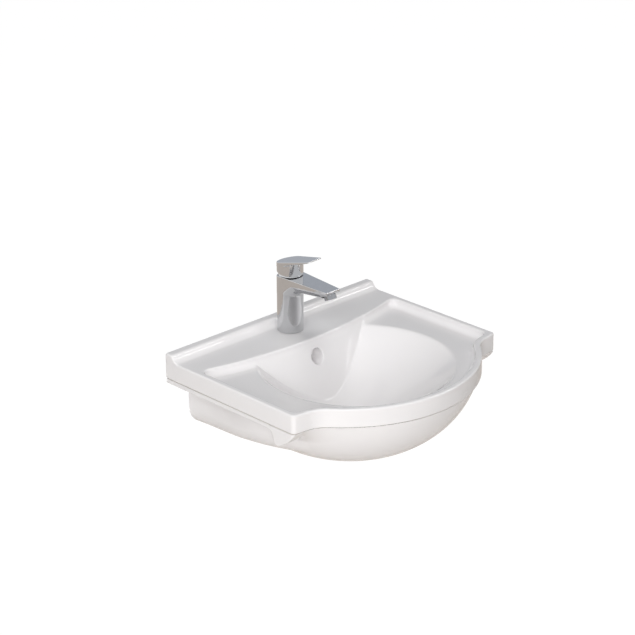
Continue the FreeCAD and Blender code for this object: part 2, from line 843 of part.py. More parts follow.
def tap_body():
    core = cylinder("body_core", S.body_radius, S.body_height - base_level, 0, tap_y, base_level)
    root = spout_section("spout_root", tap_y, S.body_radius - S.running_fit, S.body_height,
                         S.spout_root_flank, S.spout_root_drop, S.spout_root_keel)
    tip = spout_section("spout_tip", tap_y - S.spout_reach, S.spout_tip_width * half_share,
                        S.spout_tip_height, S.spout_tip_flank, S.spout_tip_drop, S.spout_tip_keel)
    spout = doc.addObject("Part::Loft", "spout")
    spout.Sections = [root, tip]
    spout.Solid = True
    spout.Ruled = True
    rear_slope = padded("body_rear_slope", "YZ_Plane", [
        (0, S.body_height),
        (S.body_radius, S.body_height - S.rear_drop),
        (S.body_radius + S.overrun, S.body_height - S.rear_drop),
        (S.body_radius + S.overrun, S.body_height + S.overrun),
        (0, S.body_height + S.overrun),
    ], S.body_radius * 2 + S.overrun, 0, tap_y, 0, True)

    def bore(label, radius, floor):
        return cylinder(label, radius, S.body_height + S.overrun - floor, 0, tap_y, floor)

    tools = [
        rear_slope,
        bore("cartridge_bore_cut", S.cartridge_bore, S.cartridge_floor),
        bore("nut_bore_cut", S.nut_bore, S.nut_floor),
        bore("dome_bore_cut", S.dome_bore, S.dome_floor),
        cylinder("gasket_recess", S.base_gasket_radius + S.seat_gap, S.recess_depth + S.overrun,
                 0, tap_y, base_level - S.overrun),
        cylinder("stud_hole", S.stud_radius + S.running_fit, S.stud_depth + S.overrun,
                 0, tap_y - S.stud_place, base_level - S.overrun),
    ]
    for side, name in ((1, "hot"), (-1, "cold")):
        spread = S.inlet_spread * -side
        tools.append(cylinder(name + "_inlet", S.inlet_radius, S.inlet_depth + S.overrun,
                              spread, tap_y + S.inlet_place, base_level - S.overrun))
        tools.append(cylinder(name + "_port", S.port_radius, S.cartridge_floor,
                              spread, tap_y + S.inlet_place, base_level + S.inlet_depth - S.running_fit))
    waterway = cylinder("waterway", S.waterway_radius, S.waterway_length)
    tools.append(tilted(waterway, 90 - S.waterway_tilt, tap_y - S.waterway_start, S.waterway_height))
    aerator_bore = cylinder("aerator_bore_cut", S.aerator_thread + S.running_fit,
                            S.aerator_grip + S.aerator_thread_length + S.aerator_washer_thickness)
    tools.append(tilted(aerator_bore, -S.aerator_tilt, tap_y - S.aerator_place, S.aerator_drop))
    seat = padded("aerator_seat", "YZ_Plane", [
        (-(S.aerator_seat_width * half_share), -S.overrun),
        (S.aerator_seat_back, -S.overrun),
        (S.aerator_seat_back, S.aerator_grip),
        (-(S.aerator_seat_width * half_share), S.aerator_grip),
    ], S.aerator_seat_width, 0, 0, 0, True)
    tools.append(tilted(seat, -S.aerator_tilt, tap_y - S.aerator_place, S.aerator_drop))
    return cut("tap_body", fused("tap_casting", [core, spout]), tools)


def aerator():
    grip = S.aerator_grip
    top = grip + S.aerator_thread_length
    place_y = tap_y - S.aerator_place
    housing = turned("aerator_housing", [
        (S.aerator_mouth, 0), (S.aerator_radius, 0), (S.aerator_radius, grip), (S.aerator_thread, grip),
        (S.aerator_thread, top), (S.aerator_bore, top), (S.aerator_bore, S.aerator_lip),
        (S.aerator_mouth, S.aerator_lip),
    ])
    insert = cylinder("aerator_insert_disc", S.aerator_bore - S.running_fit, S.aerator_face_thickness,
                      0, 0, S.aerator_lip)
    holes = []
    for index in range(FACE_HOLES):
        turn = 2 * math.pi * index / FACE_HOLES
        holes.append(cylinder(f"aerator_hole_{index}", S.face_hole_radius,
                              S.aerator_face_thickness + S.overrun * 2,
                              S.face_hole_ring * math.cos(turn), S.face_hole_ring * math.sin(turn),
                              S.aerator_lip - S.overrun))
    drilled = cut("aerator_insert", insert, holes)
    washer = turned("aerator_washer", [
        (S.aerator_washer_hole, top), (S.aerator_thread, top),
        (S.aerator_thread, top + S.aerator_washer_thickness),
        (S.aerator_washer_hole, top + S.aerator_washer_thickness),
    ])
    for piece in (housing, drilled, washer):
        tilted(piece, -S.aerator_tilt, place_y, S.aerator_drop)


# Cartridge: fixed parts, swivelling turret, lifting stem and sliding disc

def cartridge():
    floor = S.cartridge_floor + S.seal_height
    outer = S.cartridge_bore - S.running_fit * 2
    inner = outer - S.housing_wall
    disc_floor = floor + S.housing_base
    shoulder = S.nut_floor - S.housing_shoulder
    guide = S.turret_radius + S.running_fit
    case = turned("housing_case", [
        (0, floor), (outer, floor), (outer, S.nut_floor), (S.collar_radius, S.nut_floor),
        (S.collar_radius, S.collar_top), (guide, S.collar_top), (guide, shoulder), (inner, shoulder),
        (inner, disc_floor), (0, disc_floor),
    ], 0, tap_y)
    fixed_top = disc_floor + S.fixed_disc_thickness
    moving_top = fixed_top + S.moving_disc_thickness
    plate = cylinder("fixed_disc_plate", inner - S.running_fit, S.fixed_disc_thickness, 0, tap_y, disc_floor)

    def ports(label):
        height = fixed_top - S.cartridge_floor
        return [
            cylinder(f"{label}_{side}", S.port_radius, height + S.overrun * 2, S.inlet_spread * side,
                     tap_y + S.inlet_place, S.cartridge_floor - S.overrun)
            for side in (1, -1)
        ]

    outlet = lying_cylinder("housing_outlet", S.waterway_radius, S.cartridge_bore,
                            0, tap_y, S.waterway_height)
    cut("cartridge_housing", case, ports("housing_port") + [outlet])
    cut("fixed_disc", plate, ports("disc_port"))
    rings = [
        cylinder(f"seal_ring_{side}", S.seal_radius, S.seal_height, S.inlet_spread * side,
                 tap_y + S.inlet_place, S.cartridge_floor)
        for side in (1, -1)
    ]
    seal_pair = doc.addObject("Part::Compound", "seal_pair")
    seal_pair.Links = rings
    cut("cartridge_seals", seal_pair, ports("seal_port"))
    cylinder("moving_disc", S.carrier_radius, S.moving_disc_thickness, 0, tap_y, fixed_top)
    turned("disc_carrier", [
        (S.carrier_hole, moving_top), (S.carrier_radius, moving_top),
        (S.carrier_radius, moving_top + S.carrier_height), (S.carrier_hole, moving_top + S.carrier_height),
    ], 0, tap_y)
    turned("cartridge_nut", [
        (S.nut_hole, S.nut_floor), (S.nut_bore - S.running_fit, S.nut_floor),
        (S.nut_bore - S.running_fit, S.nut_top), (S.nut_hole, S.nut_top),
    ], 0, tap_y)
    turret_floor = shoulder + S.seat_gap
    drum = cylinder("turret_drum", S.turret_radius, S.turret_top - turret_floor, 0, tap_y, turret_floor)
    slot = block("stem_slot", S.stem_width + S.seat_gap, S.turret_slot,
                 S.turret_top - turret_floor + S.overrun * 2,
                 tap_y + S.turret_slot * half_share, turret_floor - S.overrun)
    pin_hole = cross_cylinder("turret_pin_hole", S.pin_radius + S.running_fit,
                              S.turret_radius * 2 + S.overrun, tap_y, S.pivot_height)
    cut("cartridge_turret", drum, [slot, pin_hole])
    cross_cylinder("stem_pin", S.pin_radius, S.pin_length, tap_y, S.pivot_height)
    post = block("stem_post", S.stem_width, S.stem_width, S.stem_top - S.stem_post_floor,
                 tap_y + S.stem_width * half_share, S.stem_post_floor)
    neck = cylinder("stem_neck_rod", S.stem_neck, S.stem_post_floor + S.overrun - S.ball_height,
                    0, tap_y, S.ball_height)
    ball = doc.addObject("Part::Sphere", "stem_ball")
    bind(ball, "Radius", S.ball_radius)
    place(ball, 0, tap_y, S.ball_height)
    eye = cross_cylinder("stem_eye", S.pin_radius + S.running_fit, S.stem_width + S.overrun,
                         tap_y, S.pivot_height)
    cut("lever_stem", fused("stem_whole", [post, neck, ball]), [eye])


def cover_dome():
    """A ball-shaped ring round the stem's pivot, so that the lever's skirt clears it at every lift."""
    def globe(label, radius):
        ball = doc.addObject("Part::Sphere", label)
        bind(ball, "Radius", radius)
        return place(ball, 0, tap_y, S.pivot_height)

    floor = S.dome_floor + S.running_fit
    zone = cylinder("dome_zone", S.dome_radius, S.dome_radius, 0, tap_y, floor)
    opening = cylinder("dome_opening", S.dome_open, S.dome_radius + S.overrun, 0, tap_y, floor)
    whole = shared("dome_outside", globe("dome_globe", S.dome_radius), zone)
    cut("cover_dome", whole, [globe("dome_inside", S.dome_radius - S.dome_thickness), opening])


# Lever: skirt, flat handle, socket on the stem, grub screw and indicator plug

def lever_top(y):
    """Height of the lever's flat top at a distance in front of the axis."""
    rise = (S.lever_tip_height - S.lever_back_height) / (S.lever_front + S.body_radius)
    return S.lever_back_height + (S.body_radius + y) * rise


def lever():
    radius = S.body_radius
    skirt_side = padded("lever_skirt_side", "YZ_Plane", [
        (-radius, S.lever_floor_front), (radius, S.lever_floor_front + S.lever_floor_rise),
        (radius, lever_top(-radius)), (-radius, lever_top(radius)),
    ], radius * 2 + S.overrun, 0, tap_y, 0, True)
    drum = cylinder("lever_drum", radius, S.lever_tip_height - S.lever_floor_front,
                    0, tap_y, S.lever_floor_front)
    skirt = shared("lever_skirt", drum, skirt_side)
    handle_side = padded("lever_handle_side", "YZ_Plane", [
        (0, lever_top(0) - S.lever_root_thickness), (0, lever_top(0)),
        (-S.lever_front, S.lever_tip_height), (-S.lever_front, S.lever_tip_height - S.lever_tip_thickness),
    ], radius * 2, 0, tap_y, 0, True)
    half_front = S.lever_front_width * half_share
    half_root = radius - S.running_fit
    plan = padded("lever_plan", "XY_Plane", [
        (-half_root, 0), (-half_front, -S.lever_front), (half_front, -S.lever_front), (half_root, 0),
    ], S.lever_tip_height, 0, tap_y, S.overrun)
    handle = shared("lever_handle", handle_side, plan)
    cavity = cylinder("lever_cavity", radius - S.lever_wall, S.lever_ceiling, 0, tap_y, 0)
    shell = cut("lever_shell", fused("lever_outside", [skirt, handle]), [cavity])
    socket = cylinder("lever_socket", S.socket_radius, S.lever_ceiling + S.running_fit - S.socket_floor,
                      0, tap_y, S.socket_floor)
    square = S.stem_width + S.running_fit * 2
    keyway = block("lever_keyway", square, square, S.stem_top + S.seat_gap, tap_y + square * half_share, 0)
    way = lying_cylinder("screw_way", S.screw_radius + S.running_fit, radius, 0,
                         tap_y + S.stem_width * half_share + radius, S.screw_height)
    mouth = lying_cylinder("indicator_way", S.indicator_radius + S.running_fit,
                           S.lever_wall + S.overrun * 2, 0, tap_y + radius + S.overrun, S.screw_height)
    cut("lever", fused("lever_whole", [shell, socket]), [keyway, way, mouth])
    screw_front = tap_y + S.stem_width * half_share + S.running_fit
    rod = lying_cylinder("screw_rod", S.screw_radius, S.screw_length, 0,
                         screw_front + S.screw_length, S.screw_height)
    key = lying_cylinder("screw_key_cut", S.screw_key, S.screw_key_depth + S.overrun, 0,
                         screw_front + S.screw_length + S.overrun, S.screw_height)
    cut("lever_screw", rod, [key])
    button = lying_cylinder("indicator_button", S.indicator_radius, S.indicator_depth + S.overrun, 0,
                            tap_y + radius + S.overrun, S.screw_height)
    skin = cylinder("indicator_skin", radius, S.lever_tip_height, 0, tap_y, 0)
    shared("indicator_plug", button, skin)


# Fixing set that clamps the tap to the deck

def hexagon(width):
    """Corners of a hexagon from its width across the flats."""
    corner = width * half_share * (1 / math.cos(math.pi / NUT_SIDES))
    turns = [2 * math.pi * index / NUT_SIDES for index in range(NUT_SIDES)]
    return [(corner * math.cos(turn), corner * math.sin(turn)) for turn in turns]


def nut(label, width, height, hole, x, y, z):
    outside = padded(label + "_hexagon", "XY_Plane", hexagon(width), height, x, y, z)
    bore = cylinder(label + "_bore", hole, height + S.overrun * 2, x, y, z - S.overrun)
    cut(label, outside, [bore])


def horseshoe(label, top, thickness):
    """A crescent clamp that leaves the inlets free and holds the stud."""
    disc = cylinder(label + "_disc", S.horseshoe_radius, thickness, 0, tap_y, top - thickness)
    front = block(label + "_front", S.horseshoe_radius * 2, S.horseshoe_radius - S.horseshoe_rear, thickness,
                  tap_y - S.horseshoe_rear, top - thickness)
    hole = cylinder(label + "_hole", S.stud_radius + S.running_fit, thickness + S.overrun * 2,
                    0, tap_y - S.stud_place, top - thickness - S.overrun)
    cut(label, shared(label + "_crescent", disc, front), [hole])


def fixing_set():
    turned("base_gasket", [
        (S.base_gasket_hole, 0), (S.base_gasket_radius, 0),
        (S.base_gasket_radius, base_level + S.recess_depth),
        (S.base_gasket_hole, base_level + S.recess_depth),
    ], 0, tap_y)
    under_deck = -S.deck_thickness
    plate_top = under_deck - S.horseshoe_gasket_thickness
    nut_top = plate_top - S.horseshoe_plate_thickness
    horseshoe("horseshoe_gasket", under_deck, S.horseshoe_gasket_thickness)
    horseshoe("horseshoe_plate", plate_top, S.horseshoe_plate_thickness)
    stud_top = base_level + S.stud_depth
    stud_y = tap_y - S.stud_place
    cylinder("fixing_stud", S.stud_radius, stud_top + S.deck_thickness + S.stud_tail,
             0, stud_y, under_deck - S.stud_tail)
    nut("fixing_nut", S.fixing_nut_width, S.fixing_nut_height, S.stud_radius + S.running_fit,
        0, stud_y, nut_top - S.fixing_nut_height)


tap_body()
aerator()
cartridge()
cover_dome()
lever()
fixing_set()

NODES = (
    "basin tap_body base_gasket cover_dome cartridge_nut cartridge_housing cartridge_seals fixed_disc "
    "moving_disc disc_carrier cartridge_turret stem_pin lever_stem lever lever_screw indicator_plug "
    "aerator_housing aerator_insert aerator_washer fixing_stud horseshoe_gasket horseshoe_plate fixing_nut"
).split()


def finish():
    """Stop on a failed object or an empty shape, then write each sub-part."""
    doc.recompute()
    for item in doc.Objects:
        if "Invalid" in item.State or "Error" in item.State:
            raise RuntimeError(f"{item.Label} failed: {item.State}")
    os.makedirs("parts", exist_ok=True)
    for label in NODES:
        shape = doc.getObjectsByLabel(label)[0].Shape
        if shape.isNull() or not shape.isValid():
            raise RuntimeError(f"{label} has no valid shape")
        shape.exportStep(f"parts/{label}.step")
        low = [round(value, 1) for value in (shape.BoundBox.XMin, shape.BoundBox.YMin, shape.BoundBox.ZMin)]
        high = [round(value, 1) for value in (shape.BoundBox.XMax, shape.BoundBox.YMax, shape.BoundBox.ZMax)]
        print(label, len(shape.Solids), "solids", round(shape.Volume), "mm3", low, high)


finish()
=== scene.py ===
import functools
import json
import math

import bpy
import numpy as np
from mathutils import Matrix, Vector


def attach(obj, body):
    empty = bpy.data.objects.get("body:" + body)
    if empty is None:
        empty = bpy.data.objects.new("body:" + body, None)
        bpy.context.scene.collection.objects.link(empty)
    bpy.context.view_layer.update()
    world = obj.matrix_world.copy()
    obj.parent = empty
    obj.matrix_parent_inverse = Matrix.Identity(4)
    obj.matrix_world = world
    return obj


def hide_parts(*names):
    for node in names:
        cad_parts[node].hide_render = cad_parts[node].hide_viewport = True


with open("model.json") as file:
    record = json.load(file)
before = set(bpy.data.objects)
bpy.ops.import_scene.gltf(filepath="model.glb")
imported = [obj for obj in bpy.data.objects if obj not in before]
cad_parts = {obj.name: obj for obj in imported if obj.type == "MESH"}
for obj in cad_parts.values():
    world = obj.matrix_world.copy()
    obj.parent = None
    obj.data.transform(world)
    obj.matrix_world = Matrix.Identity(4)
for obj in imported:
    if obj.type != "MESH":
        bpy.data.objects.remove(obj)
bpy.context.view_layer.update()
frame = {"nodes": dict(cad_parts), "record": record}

MM = 0.001
scene = bpy.context.scene

# Sizes in millimetres, in the frame of the solids:
# wall at y = 0, front towards -y, rim top at z = 0, middle at x = 0

# Rim outline
half_width = 250.0
depth = 429.0
side_depth = 320.5
wing_slope = math.radians(8)
wing_length = 30.7
wing_corner = 8.0
neck_radius = 52.0
past_wall = 400.0
# Band, groove and lip
band_height = 34.0
band_round = 3.2
band_foot_round = 1.2
band_cove = 1.0
groove_level = -34.4
groove_half = 0.9
groove_depth = 3.5
groove_zone = 14.0
groove_fade = 6.0
lip_inset = 1.0
lip_top = -20.0
lip_floor = -43.5
lip_width = 34.0
lip_round = 2.0
lip_cove = 3.0
back_apron = 14.0
back_round = 1.5
# Upstand along the wall
upstand_height = 13.0
upstand_round = 3.0
upstand_cove = 8.0
upstand_shoulder = (-18.5, 9.8)
upstand_foot = (-21.5, 3.5)
# Shelves and deck
rim_width = 12.0
shelf_depth = 14.0
shelf_cove = 11.0
shelf_corner = 18.0
shelf_wing_corner = 15.0
shelf_brink = 3.2
deck_reach = 112.0
deck_radius = 815.0
# Bowl, its back wall and the waste
bowl_place = 221.0
bowl_profile = ((171.0, -17.2), (112.0, -68.5), (33.0, -124.0))
wall_profile = ((815.0, -4.0), (825.3, -31.6), (873.0, -127.0))
bowl_brink = 2.2
brow_round = 3.0
brow_blend = 30.0
bowl_crease = 1.5
seat_radius = 33.0
seat_floor = -127.0
seat_round = 1.5
waste_radius = 23.3
waste_top = -90.0
waste_round = 1.0
# Overflow, its channel and the tap hole
overflow_radius = 14.0
overflow_level = -31.6
overflow_front = -174.0
overflow_brink = 1.6
channel_back = -96.0
channel_front = -109.0
channel_half = 20.0
channel_top = -54.6
channel_wall = 9.0
duct_half = 15.0
duct_top = -138.0
duct_floor = -148.0
tap_place = 52.4
tap_hole = 17.5
tap_hole_floor = -40.0
cut_round = 0.5
# Outer tub, rear tub and corner gussets
tub_place = 202.5
tub_radius = 232.5
tub_height = 198.5
tub_fullness = 2.2
tub_rise = 25.0
tub_floor = -160.0
tub_floor_round = 6.0
rear_setback = 20.0
rear_places = (20.0, 120.0, 235.0, 305.0)
rear_drops = (131.0, 126.5, 105.0, 88.0)
rear_halves = (217.0, 217.0, 214.0, 175.0)
rear_corner = 38.0
rear_end = 250.0
rear_sink = 0.01
rear_cove = 24.0
gusset_top = (-320.5, -34.0)
gusset_front = (-304.0, -53.0)
gusset_tip = (-281.5, -67.0)
gusset_heel = (-275.5, -70.0)
gusset_rear = (-266.5, -45.0)
gusset_width = 110.0
gusset_round = 7.0
gusset_lip_cove = 9.0
gusset_cove_places = (-340.0, -266.0)
gusset_coves = (36.0, 8.0)
# Hollow underside
casting_wall = 12.0
tub_floor_wall = 8.0
deck_under = -16.0
shelf_under = -26.0
deck_cavity = 80.0
deck_cavity_floor = -47.5
hollow_back = -15.0
hollow_round = 2.5
hollow_cove = 5.0
window_half = 110.0
window_front = -84.0
window_floor = -170.0
boss_radius = 48.0

# Tap body and spout
body_radius = 24.0
body_floor = 0.6
body_foot_round = 0.4
body_top = 107.0
rear_fall = 4.0 / 24.0
spout_end = -161.3
spout_tip_half = 16.7
spout_corner = 2.2
spout_fall = 2.2 / 108.6
spout_flanks = (15.0, 4.5)
spout_drops = (30.0, 16.0)
spout_keels = (11.0, 9.0)
keel_round = 6.0
spout_fillet = 14.0
tap_edge = 0.9
# Bores of the tap body: the cartridge's steps as (radius, floor), then its foot
cartridge_bores = ((21.6, 101.5), (19.0, 92.0), (17.6, 66.0))
foot_recess_radius = 20.9
foot_recess_top = 2.0
inlet_aside = 6.0
inlet_behind = 2.0
inlet_radius = 4.5
inlet_top = 14.6
stud_ahead = 8.0
stud_radius = 3.02
stud_top = 16.6
bore_round = 0.3
# Outlet
aerator_place = 103.0
aerator_drop = 88.0
aerator_tilt = math.radians(22)
aerator_grip = 8.0
aerator_seat_back = 12.5
aerator_seat_limit = -120.0
aerator_seat_round = 0.6
mouth_radius = 9.65
mouth_depth = 5.4
nozzle_ring = 4.6
nozzle_count = 8
nozzle_radius = 1.55
nozzle_lip = 0.35
nozzle_level = 1.4
# Lever
lever_front = 62.0
lever_front_half = 17.8
lever_corner = 2.5
lever_rise = 21.65 / 86.0
lever_level = 134.1
lever_thick = (7.0, 2.2)
lever_edge = 0.9
lever_fillet = 2.0
hub_floor_front = 108.0
hub_floor_rise = 6.0
hub_foot_round = 0.7
hub_room_radius = 21.9
hub_room_top = 124.0
hub_room_round = 0.4
stem_post_radius = 7.6
stem_post_floor = 116.0
stem_socket_half = 3.55
stem_socket_top = 121.05
plug_level = 119.4
plug_radius = 3.25
plug_front = -34.0
screw_radius = 2.45
socket_round = 0.2
# Shares of the length, past the tip and behind the hub, to which the tapers go on
past_tip = 1.1
behind_hub = -0.4

# Keeps divisions off nought
tiny = 1e-9


# Shapes as distance fields: negative inside, positive outside

def meet(a, b, radius):
    """What lies in both, with the edge between them rounded off."""
    rounding = np.hypot(np.maximum(radius + a, 0), np.maximum(radius + b, 0))
    return np.minimum(-radius, np.maximum(a, b)) + rounding


def join(a, b, radius):
    """What lies in either, with a hollow fillet between them."""
    rounding = np.hypot(np.maximum(radius - a, 0), np.maximum(radius - b, 0))
    return np.maximum(radius, np.minimum(a, b)) - rounding


def carve(a, b, radius):
    """What is left of the first when the second is cut out, with the edge rounded off."""
    return meet(a, -b, radius)


def within(*faces):
    """What lies inside all of these, with sharp edges."""
    return functools.reduce(np.maximum, faces)


def either(*forms):
    """What lies in any of these."""
    return functools.reduce(np.minimum, forms)


def taper(ends, share):
    """The value at a share of the way from the first end to the second."""
    return ends[0] + (ends[1] - ends[0]) * share


def plane(u, v, first, second):
    """Distance from the line through two points of a side view; its left hand side is inside."""
    du, dv = second[0] - first[0], second[1] - first[1]
    return ((u - first[0]) * dv - (v - first[1]) * du) / math.hypot(du, dv)


def circle_through(a, b, c):
    """Centre and radius of the circle through three points."""
    rows = np.array([[b[0] - a[0], b[1] - a[1]], [c[0] - a[0], c[1] - a[1]]]) * 2
    sums = np.array([end[0]**2 - a[0]**2 + end[1]**2 - a[1]**2 for end in (b, c)])
    centre = np.linalg.solve(rows, sums)
    return centre, math.hypot(a[0] - centre[0], a[1] - centre[1])


def line_gap(x, y, start, end):
    """Distance from a straight stretch of an outline."""
    run = (end[0] - start[0], end[1] - start[1])
    share = ((x - start[0]) * run[0] + (y - start[1]) * run[1]) / (run[0]**2 + run[1]**2)
    share = np.clip(share, 0, 1)
    return np.hypot(x - start[0] - run[0] * share, y - start[1] - run[1] * share)


def arc_gap(x, y, centre, radius, start, end):
    """Distance from a stretch of an outline that is the shorter arc between two points."""
    u, v = x - centre[0], y - centre[1]
    first = (start[0] - centre[0], start[1] - centre[1])
    last = (end[0] - centre[0], end[1] - centre[1])
    turn = math.copysign(1, first[0] * last[1] - first[1] * last[0])
    beside = ((first[0] * v - first[1] * u) * turn >= 0) & ((u * last[1] - v * last[0]) * turn >= 0)
    ends = np.minimum(np.hypot(x - start[0], y - start[1]), np.hypot(x - end[0], y - end[1]))
    return np.where(beside, np.abs(np.hypot(u, v) - radius), ends)


class Front:
    """The rim's front outline, or one set in from it: side, corner, wing, hollow neck and bow."""

    def __init__(self, inset, corner):
        inward = np.array([-math.sin(wing_slope), math.cos(wing_slope)])
        run = np.array([-math.cos(wing_slope), -math.sin(wing_slope)])
        rim_corner = np.array([half_width, -side_depth])
        self.neck = rim_corner - inward * neck_radius + run * wing_length
        lead = self.neck[1] + depth
        bow = (self.neck[0]**2 + lead**2 - neck_radius**2) / (2 * (lead + neck_radius))
        self.bow = np.array([0.0, bow - depth])
        self.neck_radius = neck_radius + inset
        self.bow_radius = bow - inset
        self.on_wing = self.neck + inward * self.neck_radius
        toward = (self.neck - self.bow) / (bow + neck_radius)
        self.on_bow = self.bow + toward * self.bow_radius
        self.nose = self.bow - np.array([0.0, self.bow_radius])
        self.side = half_width - inset
        base = rim_corner + inward * (inset + corner)
        self.corner_radius = corner
        self.corner = base + run * (base[0] - (self.side - corner)) / math.cos(wing_slope)
        self.on_side = np.array([self.side, self.corner[1]])
        self.on_edge = self.corner - inward * corner

    def gap(self, x, y):
        """Distance from the outline, whose sides run on past the wall."""
        x = np.abs(x)
        far = np.array([self.side, past_wall])
        gap = either(
            line_gap(x, y, far, self.on_side),
            line_gap(x, y, self.on_edge, self.on_wing),
            arc_gap(x, y, self.corner, self.corner_radius, self.on_side, self.on_edge),
            arc_gap(x, y, self.neck, self.neck_radius, self.on_wing, self.on_bow),
            arc_gap(x, y, self.bow, self.bow_radius, self.on_bow, self.nose),
        )
        bow = self.bow[1] - np.sqrt(np.maximum(self.bow_radius**2 - x**2, 0))
        neck = self.neck[1] + np.sqrt(np.maximum(self.neck_radius**2 - (x - self.neck[0])**2, 0))
        wing = self.on_wing[1] + (x - self.on_wing[0]) * math.tan(wing_slope)
        from_corner = x - self.corner[0]
        corner = self.corner[1] - np.sqrt(np.maximum(self.corner_radius**2 - from_corner**2, 0))
        front = np.where(x < self.on_bow[0], bow, np.where(x < self.on_wing[0], neck, wing))
        front = np.where(x > self.on_edge[0], corner, front)
        return np.where((x < self.side) & (y > front), -gap, gap)


rim_front = Front(0.0, wing_corner)
shelf_front = Front(rim_width, shelf_wing_corner)
deck_centre = deck_radius - deck_reach
bowl_arc = circle_through(*bowl_profile)
wall_arc = circle_through(*wall_profile)
rear_drop_rule = np.polyfit(rear_places, rear_drops, 3)
rear_half_rule = np.polyfit(rear_places, rear_halves, 3)
gusset_arc = circle_through(gusset_top, gusset_front, gusset_tip)


def bowl_hollow(x, y, z):
    """The room inside the bowl: a turned form, cut off behind by the leaning back wall.

    With it goes the turned form's share in what is nearest: 1 beside the bowl, 0 beside the wall."""
    out = np.hypot(x, y + bowl_place)
    bowl = np.hypot(out - bowl_arc[0][0], z - bowl_arc[0][1]) - bowl_arc[1]
    reach = np.hypot(x, y - deck_centre)
    wall = np.hypot(reach - wall_arc[0][0], z - wall_arc[0][1]) - wall_arc[1]
    return meet(bowl, wall, bowl_crease), np.clip((bowl - wall) / brow_blend + 0.5, 0, 1)


def oval(x, y, z, side_skin, floor_skin):
    """The tub's turned form, a little fuller than an ellipse, or the same set in by a skin."""
    wide, tall = tub_radius - side_skin, tub_height - floor_skin
    out, up = np.hypot(x, y + tub_place) / wide, np.abs(z - tub_rise) / tall
    near = (out**tub_fullness + up**tub_fullness)**(1 / tub_fullness)
    steep = tub_fullness - 1
    return near**steep * (near - 1) / np.maximum(np.hypot(out**steep / wide, up**steep / tall), tiny)


def rear_tub(x, y, z, skin):
    """The tub under the deck, which rises and narrows to the front, or the same set in by a skin."""
    place = np.clip(-y, rear_places[0], rear_places[-1])
    sink = rear_sink * np.maximum(-y - rear_end, 0)**2
    half = np.polyval(rear_half_rule, place) - skin - sink
    drop = np.polyval(rear_drop_rule, place) - skin - sink
    return meet(np.abs(x) - half, -drop - z, rear_corner - skin)


def underside_hollow(x, y, z):
    """The open room under the deck and round the bowl, as the casting is hollow."""
    across = np.abs(x)
    inner = rear_halves[0] - casting_wall
    deck = within(across - inner, -deck_cavity - y, y + back_apron,
                  deck_cavity_floor - z, z - deck_under)
    rear = within(rear_tub(x, y, z, casting_wall), z - shelf_under, y - hollow_back)
    window = within(across - window_half, window_front - y, y - hollow_back,
                    window_floor - z, z - lip_floor)
    tub = within(oval(x, y, z, casting_wall, tub_floor_wall), z - shelf_under, y + rear_setback)
    skin = within(bowl_hollow(x, y, z)[0] - casting_wall, z + shelf_depth)
    boss = within(np.hypot(x, y + bowl_place) - boss_radius, z - shelf_under)
    casing = within(across - channel_half - channel_wall, -bowl_place - y,
                    y - channel_back - channel_wall, duct_floor - channel_wall - z, z - deck_under)
    return carve(either(deck, rear, window, tub), either(skin, boss, casing), hollow_cove)


def casting(x, y, z):
    """The whole ceramic casting, but for the groove under its band."""
    across = np.abs(x)
    rim = rim_front.gap(x, y)
    slope = plane(y, z, upstand_foot, upstand_shoulder)
    top = join(z, meet(z - upstand_height, -slope, upstand_round), upstand_cove)
    band = meet(meet(rim, top, band_round), -band_height - z, band_foot_round)
    inset_rim = rim + lip_inset
    side = half_width - lip_inset
    bulge = np.hypot(y - gusset_arc[0][0], z - gusset_arc[0][1]) - gusset_arc[1]
    web = meet(bulge, plane(y, z, gusset_heel, gusset_rear), gusset_round)
    under = join(within(lip_floor - z, gusset_tip[0] - y), web, gusset_lip_cove)
    lip = within(meet(inset_rim, under, lip_round), side - lip_width - across)
    apron = within(meet(inset_rim, lip_floor - z, lip_round), -back_apron - y)
    gusset = within(meet(web, across - side, lip_round), side - gusset_width - across)
    low = within(either(lip, apron), inset_rim, z - lip_top)

    tub = meet(oval(x, y, z, 0, 0), tub_floor - z, tub_floor_round)
    tubs = join(tub, rear_tub(x, y, z, 0), rear_cove)
    tubs = join(tubs, gusset, np.interp(y, gusset_cove_places, gusset_coves))
    tubs = within(tubs, y + rear_setback, inset_rim, z + shelf_depth)
    shape = join(band, join(low, tubs, lip_cove), band_cove)

    shelf = meet(shelf_front.gap(x, y), deck_radius - np.hypot(x, y - deck_centre), shelf_corner)
    shape = carve(shape, meet(shelf, -shelf_depth - z, shelf_cove), shelf_brink)
    bowl, turned = bowl_hollow(x, y, z)
    shape = carve(shape, bowl, taper((brow_round, bowl_brink), turned))
    shape = carve(shape, underside_hollow(x, y, z), hollow_round)

    out = np.hypot(x, y + bowl_place)
    seat = within(out - seat_radius, seat_floor - z, z - waste_top)
    waste = within(out - waste_radius, z - waste_top)
    overflow = within(np.hypot(x, z - overflow_level) - overflow_radius,
                      overflow_front - y, y - channel_back)
    shaft = within(across - channel_half, channel_front - y, y - channel_back,
                   duct_floor - z, z - channel_top)
    duct = within(across - duct_half, -bowl_place - y, y - channel_back,
                  duct_floor - z, z - duct_top)
    tap = within(np.hypot(x, y + tap_place) - tap_hole, tap_hole_floor - z)
    for cut, radius in ((seat, seat_round), (waste, waste_round), (overflow, overflow_brink),
                        (either(shaft, duct), cut_round), (tap, cut_round)):
        shape = carve(shape, cut, radius)
    return meet(shape, y, back_round)


def groove(x, y, z):
    """Depth of the fine groove that runs round the casting under its band."""
    outside = np.clip((rim_front.gap(x, y) + groove_zone) / groove_fade, 0, 1)
    return groove_depth * outside * np.exp(-((z - groove_level) / groove_half)**2)


def tap_top(y):
    """Height of the tap body's top, which falls to the spout's tip and to the rear."""
    ahead = -tap_place - y
    return body_top - np.where(ahead > 0, ahead * spout_fall, -ahead * rear_fall)


